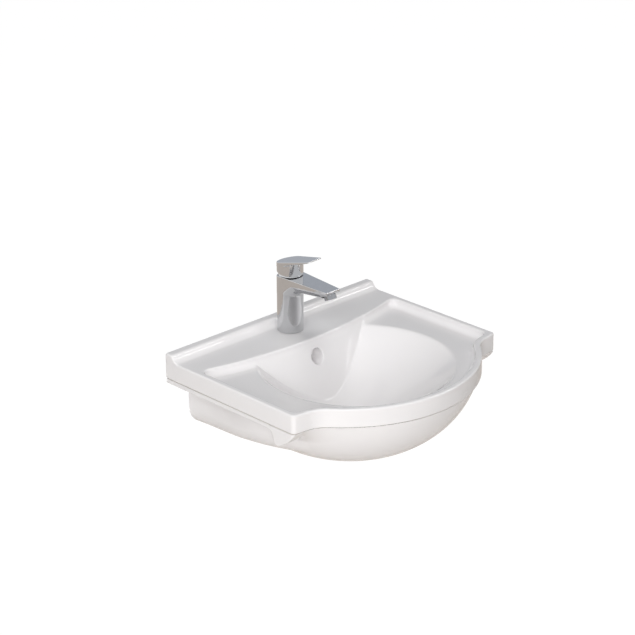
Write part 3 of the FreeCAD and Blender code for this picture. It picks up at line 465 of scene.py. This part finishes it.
def tap_form(x, y, z):
    """Tap body and spout in one, bored for the cartridge, aerator and inlets."""
    across = np.abs(x)
    out = np.hypot(x, y + tap_place)
    body = out - body_radius
    length = -tap_place - spout_end
    share = np.clip((-tap_place - y) / length, 0, past_tip)
    half = taper((body_radius, spout_tip_half), share)
    lean = math.cos(math.atan2(body_radius - spout_tip_half, length))
    flank, drop, keel = (taper(ends, share) for ends in (spout_flanks, spout_drops, spout_keels))
    top = tap_top(y)
    prism = meet(within((across - half) * lean, y + tap_place), spout_end - y, spout_corner)
    fall = drop - flank
    bevel = ((across - half) * fall - (z - top + flank) * (half - keel)) / np.hypot(fall, half - keel)
    under = meet(bevel, top - drop - z, keel_round)
    form = meet(join(body, under, spout_fillet), either(body, prism), tap_edge)
    form = meet(form, z - top, tap_edge)
    form = meet(form, body_floor - z, body_foot_round)
    for radius, floor in cartridge_bores:
        form = carve(form, within(out - radius, floor - z), bore_round)

    seat_y = y + tap_place + aerator_place
    seat_z = z - aerator_drop
    along = seat_y * math.cos(aerator_tilt) - seat_z * math.sin(aerator_tilt)
    up = seat_y * math.sin(aerator_tilt) + seat_z * math.cos(aerator_tilt)
    seat = within(up - aerator_grip, along - aerator_seat_back, y - aerator_seat_limit)
    form = carve(form, seat, aerator_seat_round)
    mouth = within(np.hypot(x, along) - mouth_radius, up - aerator_grip - mouth_depth)
    form = carve(form, mouth, bore_round)
    recess = within(out - foot_recess_radius, z - foot_recess_top)
    off_inlet = np.hypot(across - inlet_aside, y + tap_place - inlet_behind)
    inlets = within(off_inlet - inlet_radius, z - inlet_top)
    stud = within(np.hypot(x, y + tap_place + stud_ahead) - stud_radius, z - stud_top)
    return carve(form, either(recess, inlets, stud), bore_round)


def lever_form(x, y, z):
    """Lever: a round hub with a sloping top that runs out into a flat, tapering handle."""
    across = np.abs(x)
    out = np.hypot(x, y + tap_place)
    hub = out - body_radius
    ahead = -tap_place - y
    share = np.clip(ahead / lever_front, behind_hub, past_tip)
    half = taper((body_radius, lever_front_half), np.maximum(share, 0))
    prism = meet(within(across - half, y + tap_place), ahead - lever_front, lever_corner)
    top = (z - lever_level - ahead * lever_rise) * math.cos(math.atan(lever_rise))
    under = -top - taper(lever_thick, share)
    form = meet(join(hub, under, lever_fillet), either(hub, prism), lever_edge)
    form = meet(form, top, lever_edge)
    hub_floor = hub_floor_front + (body_radius - ahead) / (2 * body_radius) * hub_floor_rise
    form = meet(form, hub_floor - z, hub_foot_round)

    room = within(out - hub_room_radius, z - hub_room_top)
    post = within(out - stem_post_radius, stem_post_floor - z)
    socket = within(across - stem_socket_half, np.abs(ahead) - stem_socket_half, z - stem_socket_top)
    form = carve(form, carve(room, post, bore_round), hub_room_round)
    form = carve(form, socket, socket_round)
    off_plug = np.hypot(x, z - plug_level)
    plug = within(off_plug - plug_radius, plug_front - y)
    screw = within(off_plug - screw_radius, ahead)
    return carve(form, either(plug, screw), socket_round)


# Fine settings of the skins: reach in millimetres, and numbers of turns
slope_reach = 0.04
least_slope = 0.05
settle_turns = 5
split_turns = 3
cover_depth = 6.0


def gradient(field, points):
    """The field's slope along each axis at the points."""
    parts = []
    for axis in range(3):
        aside = np.zeros(3)
        aside[axis] = slope_reach
        parts.append((field(*(points + aside).T) - field(*(points - aside).T)) / (2 * slope_reach))
    return np.stack(parts, 1)


def facing(field, points):
    """The way that the field's surface faces at the points."""
    slope = gradient(field, points)
    return slope / np.maximum(np.linalg.norm(slope, axis=1, keepdims=True), tiny)


def settle(field, points, reach):
    """Moves points onto the field's surface, by no more than the reach at a time."""
    for turn in range(settle_turns):
        slope = gradient(field, points)
        step = slope * (field(*points.T) / np.maximum((slope**2).sum(1), least_slope))[:, None]
        length = np.linalg.norm(step, axis=1, keepdims=True)
        points = points - step * np.minimum(1, reach / np.maximum(length, tiny))
    return points


def cells_of(field, xs, ys, zs):
    """A closed skin of quads, with one point in each grid cell that the surface passes through."""
    values = np.broadcast_to(field(xs[:, None, None], ys[None, :, None], zs[None, None, :]),
                             (len(xs), len(ys), len(zs)))
    solid = values < 0
    corners = [(a, b, c) for a in (0, 1) for b in (0, 1) for c in (0, 1)]
    shape = tuple(n - 1 for n in values.shape)
    count = sum(solid[a:a + shape[0], b:b + shape[1], c:c + shape[2]].astype(np.int8)
                for a, b, c in corners)
    cells = np.argwhere((count > 0) & (count < 8))
    number = np.full(shape, -1, dtype=np.int64)
    number[tuple(cells.T)] = np.arange(len(cells))
    lines = (xs, ys, zs)
    total, hits = np.zeros((len(cells), 3)), np.zeros(len(cells))
    for first in corners:
        for axis in range(3):
            if first[axis]:
                continue
            second = tuple(1 if k == axis else v for k, v in enumerate(first))
            at, to = cells + first, cells + second
            low, high = values[tuple(at.T)], values[tuple(to.T)]
            crosses = (low < 0) != (high < 0)
            share = np.where(crosses, low / np.where(crosses, low - high, 1), 0)
            point = np.stack([lines[k][at[:, k]] for k in range(3)], 1)
            point[:, axis] += share * (lines[axis][to[:, axis]] - lines[axis][at[:, axis]])
            total += point * crosses[:, None]
            hits += crosses

    quads = []
    for axis, (second, third) in enumerate(((1, 2), (2, 0), (0, 1))):
        ahead = np.moveaxis(solid, axis, 0)
        edges = np.argwhere(np.moveaxis(ahead[1:] != ahead[:-1], 0, axis))
        ring = []
        for u, v in ((1, 1), (0, 1), (0, 0), (1, 0)):
            cell = edges.copy()
            cell[:, second] -= u
            cell[:, third] -= v
            ring.append(number[tuple(cell.T)])
        ring = np.stack(ring, 1)
        outward = solid[tuple(edges.T)]
        quads.append(np.where(outward[:, None], ring, ring[:, ::-1]))
    return total / hits[:, None], np.concatenate(quads)


def split_bends(field, points, faces, bend, shortest, hidden):
    """Halves each edge along which the surface turns by more than the bend, where it isn't hidden."""
    normals = facing(field, points)
    sides = np.sort(np.concatenate([faces[:, [0, 1]], faces[:, [1, 2]], faces[:, [2, 0]]]), axis=1)
    edges, which = np.unique(sides, axis=0, return_inverse=True)
    first, second = edges.T
    bends = (normals[first] * normals[second]).sum(1) < math.cos(bend)
    halve = bends & (np.linalg.norm(points[first] - points[second], axis=1) > shortest)
    if hidden:
        halve &= ~hidden(*points[first].T)
    middle = np.full(len(edges), -1)
    middle[halve] = len(points) + np.arange(halve.sum())
    added = settle(field, (points[first[halve]] + points[second[halve]]) / 2, shortest)
    middles = middle[which.reshape(3, -1).T]
    cut = middles >= 0
    kept = [faces[~cut.any(1)]]
    whole = cut.all(1)
    (a, b, c), (ab, bc, ca) = faces[whole].T, middles[whole].T
    kept += [np.stack(face, 1) for face in ((a, ab, ca), (ab, b, bc), (ca, bc, c), (ab, bc, ca))]
    for turn in range(3):
        turned, halves, cuts = (np.roll(rows, -turn, axis=1) for rows in (faces, middles, cut))
        one = cuts[:, 0] & ~cuts[:, 1] & ~cuts[:, 2]
        (a, b, c), ab = turned[one].T, halves[one, 0]
        kept += [np.stack(face, 1) for face in ((a, ab, c), (ab, b, c))]
        two = cuts[:, 0] & cuts[:, 1] & ~cuts[:, 2]
        (a, b, c), (ab, bc, _) = turned[two].T, halves[two].T
        kept += [np.stack(face, 1) for face in ((ab, b, bc), (a, ab, bc), (a, bc, c))]
    return np.concatenate([points, added]), np.concatenate(kept)


def skin_of(field, xs, ys, zs, bend, shortest, hidden=None, relief=None):
    """The field's surface as triangles, finest along its small roundings, with its true normals.

    Relief is pressed in level, by the depth that it gives for each point."""
    points, quads = cells_of(field, xs, ys, zs)
    points = settle(field, points, 0.5 * min(np.diff(line).max() for line in (xs, ys, zs)))
    normals = facing(field, points)
    a, b, c, d = quads.T
    along = (normals[a] * normals[c]).sum(1) >= (normals[b] * normals[d]).sum(1)
    one = np.where(along[:, None], quads[:, [0, 1, 2]], quads[:, [0, 1, 3]])
    other = np.where(along[:, None], quads[:, [0, 2, 3]], quads[:, [1, 2, 3]])
    faces = np.concatenate([one, other])
    for turn in range(split_turns):
        points, faces = split_bends(field, points, faces, bend, shortest, hidden)
    if not relief:
        return points, faces, facing(field, points)
    points = points - facing(field, points) * (1, 1, 0) * relief(*points.T)[:, None]
    return points, faces, facing(lambda x, y, z: field(x, y, z) + relief(x, y, z), points)


def mesh_piece(name, points, faces, normals):
    """A smooth mesh object from points in millimetres, triangles and normals."""
    mesh = bpy.data.meshes.new(name)
    mesh.vertices.add(len(points))
    mesh.vertices.foreach_set("co", (points * MM).astype(np.float32).ravel())
    mesh.loops.add(faces.size)
    mesh.loops.foreach_set("vertex_index", faces.astype(np.int32).ravel())
    mesh.polygons.add(len(faces))
    mesh.polygons.foreach_set("loop_start", np.arange(0, faces.size, 3, dtype=np.int32))
    mesh.update(calc_edges=True)
    mesh.validate()
    mesh.shade_smooth()
    mesh.normals_split_custom_set_from_vertices(normals.tolist())
    piece = bpy.data.objects.new(name, mesh)
    scene.collection.objects.link(piece)
    return piece


def levels(*runs):
    """Grid lines from stretches of (start, end, step), each stretch cut evenly."""
    lines = [np.linspace(start, end, max(1, round((end - start) / step)), endpoint=False)
             for start, end, step in runs]
    return np.concatenate(lines + [np.array([runs[-1][1]])])


def under_cover(x, y, z):
    """Where the casting's inside is, which hardly shows."""
    return underside_hollow(x, y, z) < cover_depth


# Grid steps in millimetres, finer at the overflow, the groove and the rim
china_step = 5.0
overflow_step = 3.0
china_bend, china_edge = math.radians(19), 1.5
tap_step, lever_step = 1.2, 1.0
chrome_bend, chrome_edge = math.radians(14), 0.3

china_points, china_faces, china_normals = skin_of(
    casting,
    levels((-256, -18, china_step), (-18, 18, overflow_step), (18, 256, china_step)),
    levels((-436, -130, china_step), (-130, -112, overflow_step), (-112, 6, china_step)),
    levels((-168, -48, china_step), (-48, -37, 3.6), (-37, -32, 0.6), (-32, -6, 4.4), (-6, 2, 2.0),
           (2, 18, 3.2)),
    china_bend, china_edge, under_cover, groove,
)
basin_china = mesh_piece("basin_china", china_points, china_faces, china_normals)
tap_chrome = mesh_piece("tap_chrome", *skin_of(
    tap_form, levels((-26, 26, tap_step)), levels((-164, -26, tap_step)), levels((-1, 110, tap_step)),
    chrome_bend, chrome_edge))
lever_chrome = mesh_piece("lever_chrome", *skin_of(
    lever_form, levels((-26, 26, lever_step)), levels((-117, -26, lever_step)),
    levels((105, 153, lever_step)), chrome_bend, chrome_edge))


# Materials

def colour(code):
    """An sRGB hex value as linear red, green, blue and alpha."""
    parts = [int(code[i:i + 2], 16) / 255 for i in (1, 3, 5)]
    return [p / 12.92 if p <= 0.04045 else ((p + 0.055) / 1.055) ** 2.4 for p in parts] + [1.0]


def node(tree, kind, inputs=None, **settings):
    """Adds a node: settings are its properties, inputs its sockets' values or the sockets they
    come from."""
    made = tree.nodes.new(kind)
    for name, value in settings.items():
        setattr(made, name, value)
    for name, value in (inputs or {}).items():
        if isinstance(value, bpy.types.NodeSocket):
            tree.links.new(value, made.inputs[name])
        else:
            made.inputs[name].default_value = value
    return made


def new_material(name):
    """An empty material and its node tree."""
    material = bpy.data.materials.new(name)
    material.use_nodes = True
    material.node_tree.nodes.clear()
    return material, material.node_tree


def per_mm(size):
    """Texture scale for a feature of this size in millimetres, on Object coordinates in metres."""
    return 1 / (size * MM)


def glazed_china():
    # Vitreous china, dipped and fired: an even, cool white body under a thick clear glaze that
    # mirrors lamps sharply and ripples very slightly, with painted shade darkening it along the groove,
    # and bare rough biscuit where it isn't dipped
    cloud_size, ripple_size, grit_size = 70, 14, 1.6  # millimetres
    material, tree = new_material("glazed_vitreous_china")
    place = node(tree, "ShaderNodeTexCoord").outputs["Object"]
    cloud = node(tree, "ShaderNodeTexNoise", {
        "Vector": place, "Scale": per_mm(cloud_size), "Detail": 2.0})
    tint = node(tree, "ShaderNodeMix", {
        "Factor": cloud.outputs["Fac"], "A": colour("#F3F1F2"), "B": colour("#F6F4F4")},
        data_type="RGBA")
    # Painted shade: the glaze is mixed towards grey-brown along the groove, darkest at its middle line
    painted_groove_shade = node(tree, "ShaderNodeAttribute", attribute_name="painted_groove_shade").outputs["Fac"]
    tint = node(tree, "ShaderNodeMix", {
        "Factor": painted_groove_shade, "A": tint.outputs["Result"], "B": colour("#BDB6AC")}, data_type="RGBA")
    bare = node(tree, "ShaderNodeAttribute", attribute_name="bare").outputs["Fac"]
    grit = node(tree, "ShaderNodeTexNoise", {"Vector": place, "Scale": per_mm(grit_size), "Detail": 4.0})
    biscuit = node(tree, "ShaderNodeMix", {
        "Factor": grit.outputs["Fac"], "A": colour("#DDD8CE"), "B": colour("#EFEBE2")}, data_type="RGBA")
    shade = node(tree, "ShaderNodeMix", {
        "Factor": bare, "A": tint.outputs["Result"], "B": biscuit.outputs["Result"]}, data_type="RGBA")
    rough = node(tree, "ShaderNodeMapRange", {"Value": bare, "To Min": 0.03, "To Max": 0.62})
    ripple = node(tree, "ShaderNodeTexNoise", {
        "Vector": place, "Scale": per_mm(ripple_size), "Detail": 1.0})
    relief = node(tree, "ShaderNodeMix", {
        "Factor": bare, "A": ripple.outputs["Fac"], "B": grit.outputs["Fac"]}, data_type="FLOAT")
    bump = node(tree, "ShaderNodeBump", {
        "Strength": 0.05, "Distance": 0.3 * MM, "Height": relief.outputs["Result"]})
    shader = node(tree, "ShaderNodeBsdfPrincipled", {
        "Base Color": shade.outputs["Result"], "Roughness": rough.outputs["Result"], "IOR": 1.52,
        "Normal": bump.outputs["Normal"]})
    node(tree, "ShaderNodeOutputMaterial", {"Surface": shader.outputs["BSDF"]})
    return material


def metal(name, light, dark, grain, rough_low, rough_high):
    """A metal whose polish wanders a little over patches of the grain's size, in millimetres."""
    material, tree = new_material(name)
    place = node(tree, "ShaderNodeTexCoord").outputs["Object"]
    cloud = node(tree, "ShaderNodeTexNoise", {"Vector": place, "Scale": per_mm(grain), "Detail": 3.0})
    tint = node(tree, "ShaderNodeMix", {
        "Factor": cloud.outputs["Fac"], "A": colour(dark), "B": colour(light)}, data_type="RGBA")
    rough = node(tree, "ShaderNodeMapRange", {
        "Value": cloud.outputs["Fac"], "To Min": rough_low, "To Max": rough_high})
    shader = node(tree, "ShaderNodeBsdfPrincipled", {
        "Base Color": tint.outputs["Result"], "Metallic": 1.0, "Roughness": rough.outputs["Result"]})
    node(tree, "ShaderNodeOutputMaterial", {"Surface": shader.outputs["BSDF"]})
    return material


def moulded(name, light, dark, grain, roughness, relief, ior):
    """A moulded or ground material with a fine even surface grain of that size in millimetres."""
    material, tree = new_material(name)
    place = node(tree, "ShaderNodeTexCoord").outputs["Object"]
    cloud = node(tree, "ShaderNodeTexNoise", {"Vector": place, "Scale": per_mm(grain), "Detail": 3.0})
    tint = node(tree, "ShaderNodeMix", {
        "Factor": cloud.outputs["Fac"], "A": colour(dark), "B": colour(light)}, data_type="RGBA")
    bump = node(tree, "ShaderNodeBump", {
        "Strength": relief, "Distance": 0.2 * MM, "Height": cloud.outputs["Fac"]})
    shader = node(tree, "ShaderNodeBsdfPrincipled", {
        "Base Color": tint.outputs["Result"], "Roughness": roughness, "IOR": ior,
        "Normal": bump.outputs["Normal"]})
    node(tree, "ShaderNodeOutputMaterial", {"Surface": shader.outputs["BSDF"]})
    return material


china_glaze = glazed_china()
# Bright chrome plate on polished brass: a cool mirror with hardly any haze
bright_chrome = metal("bright_chrome_plate", "#D2D3D5", "#CACBCD",
                      grain=9, rough_low=0.03, rough_high=0.06)
# Satin chrome on the outlet's turned ring: greyer and hazier than the polished body
satin_chrome = metal("satin_chrome_plate", "#A3A5A9", "#8B8D91",
                     grain=4, rough_low=0.1, rough_high=0.18)
# Turned brass, left bare inside the tap: warm, with a fine machined haze
turned_brass = metal("turned_brass", "#D6B878", "#BFA062",
                     grain=2, rough_low=0.22, rough_high=0.34)
# Bright zinc on steel: blue-grey, duller than chrome
zinc_steel = metal("zinc_plated_steel", "#C2C6CC", "#A9ADB3",
                   grain=3, rough_low=0.28, rough_high=0.42)
# Moulded nitrile rubber: near black, matt
nitrile_rubber = moulded("nitrile_rubber", "#2B2B2B", "#1C1C1C",
                         grain=1.2, roughness=0.68, relief=0.4, ior=1.52)
# Moulded acetal: milky white with a low gloss
white_acetal = moulded("white_acetal", "#EFEEE9", "#E2E1DB",
                       grain=2.5, roughness=0.36, relief=0.15, ior=1.48)
# Glass filled plastic of the cartridge: dark grey, dull
grey_plastic = moulded("glass_filled_plastic", "#5A5D61", "#46494D",
                       grain=0.8, roughness=0.55, relief=0.3, ior=1.5)
# Ground alumina discs: warm white, flat and smooth
ground_alumina = moulded("ground_alumina", "#F2ECDD", "#E6DFCE",
                         grain=1.5, roughness=0.24, relief=0.08, ior=1.6)

slot_finish = {
    "glaze": china_glaze,
    "chrome": bright_chrome,
    "brass": turned_brass,
    "steel": zinc_steel,
    "rubber": nitrile_rubber,
    "white_plastic": white_acetal,
    "grey_plastic": grey_plastic,
    "disc_ceramic": ground_alumina,
}


def dress(piece, material):
    """Gives a piece one material."""
    piece.data.materials.clear()
    piece.data.materials.append(material)


for subpart in frame["record"]["subparts"]:
    dress(frame["nodes"][subpart["node"]], slot_finish[subpart["material_slot"]])
dress(frame["nodes"]["aerator_housing"], satin_chrome)

# Bare biscuit on the wall face and in the open underside, and painted shade along the groove
dip_edge = 1.5
wall_edge = 0.8
glazed_floor, glazed_back = -20.0, -2.0
hollow_gap = np.abs(underside_hollow(*china_points.T))
bare = np.clip(np.maximum(dip_edge - hollow_gap, (china_points[:, 1] + wall_edge) * 2), 0, 1)
bare[(china_points[:, 2] > glazed_floor) & (china_points[:, 1] < glazed_back)] = 0
# Painted shade along the groove: its share of the groove's full depth at each point
painted_groove_shade = groove(*china_points.T) / groove_depth
for name, values in (("bare", bare), ("painted_groove_shade", painted_groove_shade)):
    attribute = basin_china.data.attributes.new(name, "FLOAT", "POINT")
    attribute.data.foreach_set("value", values.astype(np.float32))

hole_sides, lip_sides = 20, 8


def aerator_nozzle_tree(material):
    """Geometry Nodes: a rounded lip round each hole of the aerator's face, in a ring."""
    tree = bpy.data.node_groups.new("aerator_nozzles", "GeometryNodeTree")
    tree.interface.new_socket("Geometry", in_out="OUTPUT", socket_type="NodeSocketGeometry")
    for name, kind in (("Count", "NodeSocketInt"), ("Ring Radius", "NodeSocketFloat"),
                       ("Nozzle Radius", "NodeSocketFloat"), ("Lip Radius", "NodeSocketFloat")):
        tree.interface.new_socket(name, in_out="INPUT", socket_type=kind)
    sizes = node(tree, "NodeGroupInput").outputs
    ring = node(tree, "GeometryNodeMeshCircle", {
        "Vertices": sizes["Count"], "Radius": sizes["Ring Radius"]})
    round_hole = node(tree, "GeometryNodeCurvePrimitiveCircle", {
        "Resolution": hole_sides, "Radius": sizes["Nozzle Radius"]})
    section = node(tree, "GeometryNodeCurvePrimitiveCircle", {
        "Resolution": lip_sides, "Radius": sizes["Lip Radius"]})
    lip = node(tree, "GeometryNodeCurveToMesh",
               {"Curve": round_hole.outputs["Curve"], "Profile Curve": section.outputs["Curve"]})
    placed = node(tree, "GeometryNodeInstanceOnPoints",
                  {"Points": ring.outputs["Mesh"], "Instance": lip.outputs["Mesh"]})
    real = node(tree, "GeometryNodeRealizeInstances", {"Geometry": placed.outputs["Instances"]})
    smooth = node(tree, "GeometryNodeSetShadeSmooth", {"Geometry": real.outputs["Geometry"]})
    coated = node(tree, "GeometryNodeSetMaterial", {
        "Geometry": smooth.outputs["Geometry"], "Material": material})
    node(tree, "NodeGroupOutput", {"Geometry": coated.outputs["Geometry"]})
    return tree


def aerator_nozzles():
    """The nozzle lips as a plain mesh, tilted with the outlet."""
    maker = bpy.data.objects.new("nozzle_maker", bpy.data.meshes.new("nozzle_maker"))
    scene.collection.objects.link(maker)
    modifier = maker.modifiers.new("nozzles", "NODES")
    modifier.node_group = aerator_nozzle_tree(white_acetal)
    sizes = {"Count": nozzle_count, "Ring Radius": nozzle_ring * MM,
             "Nozzle Radius": nozzle_radius * MM, "Lip Radius": nozzle_lip * MM}
    for socket in modifier.node_group.interface.items_tree:
        if socket.in_out == "INPUT":
            modifier[socket.identifier] = sizes[socket.name]
    finished = maker.evaluated_get(bpy.context.evaluated_depsgraph_get())
    mesh = bpy.data.meshes.new_from_object(finished)
    bpy.data.objects.remove(maker)
    lean = Matrix.Rotation(-aerator_tilt, 4, "X")
    foot = Vector((0, -tap_place - aerator_place, aerator_drop)) * MM
    mesh.transform(Matrix.Translation(foot) @ lean @ Matrix.Translation((0, 0, nozzle_level * MM)))
    mesh.name = "aerator_nozzles"
    piece = bpy.data.objects.new("aerator_nozzles", mesh)
    scene.collection.objects.link(piece)
    return piece


nozzles = aerator_nozzles()
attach(nozzles, "fixed")

for piece, material, body, cad_node, slot in (
    (basin_china, china_glaze, "fixed", "basin", "glaze"),
    (tap_chrome, bright_chrome, "fixed", "tap_body", "chrome"),
    (lever_chrome, bright_chrome, "handle", "lever", "chrome"),
):
    dress(piece, material)
    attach(piece, body)
    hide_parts(cad_node)


# Stage: camera, floor, light

scene.view_settings.view_transform = "Standard"

camera_turn = math.radians(-44.43)
camera_lift = math.radians(22.81)
camera_place = Vector((-2435.2, -2606.2, 1506.2)) * MM
lens_length = 121.15
sensor_width = 36
view_end = 50


def direction(turn, lift):
    """The way out from the basin, turned from the front and lifted."""
    return Vector((math.sin(turn) * math.cos(lift), -math.cos(turn) * math.cos(lift), math.sin(lift)))


back = direction(camera_turn, camera_lift)
right = Vector((math.cos(camera_turn), math.sin(camera_turn), 0))
camera_axes = Matrix((right, back.cross(right), back)).transposed().to_4x4()
lens = bpy.data.cameras.new("camera")
lens.sensor_width = sensor_width
lens.lens = lens_length
lens.clip_end = view_end
camera = bpy.data.objects.new("camera", lens)
camera.matrix_world = Matrix.Translation(camera_place) @ camera_axes
scene.collection.objects.link(camera)
scene.camera = camera

# From here on in metres
square = ((-1, -1), (1, -1), (1, 1), (-1, 1))


def stage_sheet(name, corners, material):
    """A flat sheet of the studio, which isn't part of the object."""
    mesh = bpy.data.meshes.new(name)
    mesh.from_pydata(corners, [], [(0, 1, 2, 3)])
    mesh.materials.append(material)
    sheet = bpy.data.objects.new(name, mesh)
    scene.collection.objects.link(sheet)
    return sheet


def seen_rays(tree):
    """1 for what is seen, by itself or in a mirror or glass, 0 for light that falls on things."""
    path = node(tree, "ShaderNodeLightPath").outputs
    seen = node(tree, "ShaderNodeMath", {0: path["Is Camera Ray"], 1: path["Is Glossy Ray"]},
                operation="MAXIMUM")
    seen = node(tree, "ShaderNodeMath", {0: seen.outputs[0], 1: path["Is Transmission Ray"]},
                operation="MAXIMUM")
    return seen.outputs[0]


# White paper on the floor, lit so that it looks white and keeps a faint shadow
floor_level = -0.42
floor_half = 9.0
paper_glow, paper_white = 0.93, 1.07
floor_paper, tree = new_material("white_paper_sweep")
share = node(tree, "ShaderNodeMath", {0: seen_rays(tree), 1: paper_glow}, operation="MULTIPLY")
paper = node(tree, "ShaderNodeBsdfDiffuse", {"Color": colour("#F2EFEC")})
white = node(tree, "ShaderNodeEmission", {"Color": (1, 1, 1, 1), "Strength": paper_white})
mixed = node(tree, "ShaderNodeMixShader", {
    0: share.outputs[0], 1: paper.outputs[0], 2: white.outputs[0]})
node(tree, "ShaderNodeOutputMaterial", {"Surface": mixed.outputs[0]})
stage_sheet("studio_floor", [(u * floor_half, v * floor_half, floor_level) for u, v in square],
            floor_paper)

room_light, room_white = 0.03, 1.0
world = bpy.data.worlds.new("studio")
scene.world = world
world.use_nodes = True
tree = world.node_tree
tree.nodes.clear()
soft = node(tree, "ShaderNodeBackground", {"Color": (1, 1, 1, 1), "Strength": room_light})
white = node(tree, "ShaderNodeBackground", {"Color": (1, 1, 1, 1), "Strength": room_white})
mixed = node(tree, "ShaderNodeMixShader", {0: seen_rays(tree), 1: soft.outputs[0], 2: white.outputs[0]})
node(tree, "ShaderNodeOutputWorld", {"Surface": mixed.outputs[0]})


def reflector(name, corners, code, strength):
    """A glowing board that only mirrors see: it shades chrome and glaze, and lights nothing."""
    board, tree = new_material(name)
    glow = node(tree, "ShaderNodeEmission", {"Color": colour(code), "Strength": strength})
    node(tree, "ShaderNodeOutputMaterial", {"Surface": glow.outputs[0]})
    sheet = stage_sheet(name, corners, board)
    sheet.visible_camera = sheet.visible_diffuse = sheet.visible_shadow = False
    sheet.visible_transmission = False


# Grey boards behind and below give chrome an edge against the white room, and a bright strip at
# the right draws the highlights along the rims
rear_left, rear_right = (4.3, 1.0), (1.0, 4.3)
rear_foot, rear_top = -0.41, 3.0
reflector("rear_board", [(*rear_left, rear_foot), (*rear_right, rear_foot),
                         (*rear_right, rear_top), (*rear_left, rear_top)], "#B4B8BF", strength=1.08)
strip_place = (1.78, -1.85, 1.76)
strip_turn, strip_tilt = math.radians(47), math.radians(-36)
strip_half, strip_rise = 0.8, 0.15
strip = (Matrix.Translation(strip_place) @ Matrix.Rotation(strip_turn, 4, "Z")
         @ Matrix.Rotation(strip_tilt, 4, "X"))
reflector("window_strip", [strip @ Vector((u * strip_half, 0, v * strip_rise)) for u, v in square],
          "#FFFFFF", strength=11.0)
low_half, low_level = 3.0, -0.415
reflector("low_board", [(u * low_half, v * low_half, low_level) for u, v in square],
          "#C9C0B8", strength=1.1)

lamp_aim = Vector((0, -0.2, 0))
lamp_distance = 3.0


def softbox(name, turn, lift, size, power):
    """A square soft lamp, turned from the front and lifted by degrees, aimed at the basin."""
    towards = direction(math.radians(turn), math.radians(lift))
    lamp = bpy.data.lights.new(name, "AREA")
    lamp.shape = "SQUARE"
    lamp.size = size
    lamp.energy = power
    box = bpy.data.objects.new(name, lamp)
    box.location = lamp_aim + towards * lamp_distance
    box.rotation_euler = (-towards).to_track_quat("-Z", "Y").to_euler()
    box.visible_camera = box.visible_glossy = False
    scene.collection.objects.link(box)


# Wide soft lamps that mirrors don't see, so they leave no lamp shape in the glaze
softbox("key_softbox", turn=-45, lift=22, size=1.8, power=50)
softbox("left_softbox", turn=-80, lift=6, size=1.4, power=13)
softbox("side_softbox", turn=-75, lift=40, size=1.4, power=9)
softbox("front_softbox", turn=35, lift=12, size=1.4, power=9)
softbox("top_softbox", turn=0, lift=85, size=1.6, power=33)
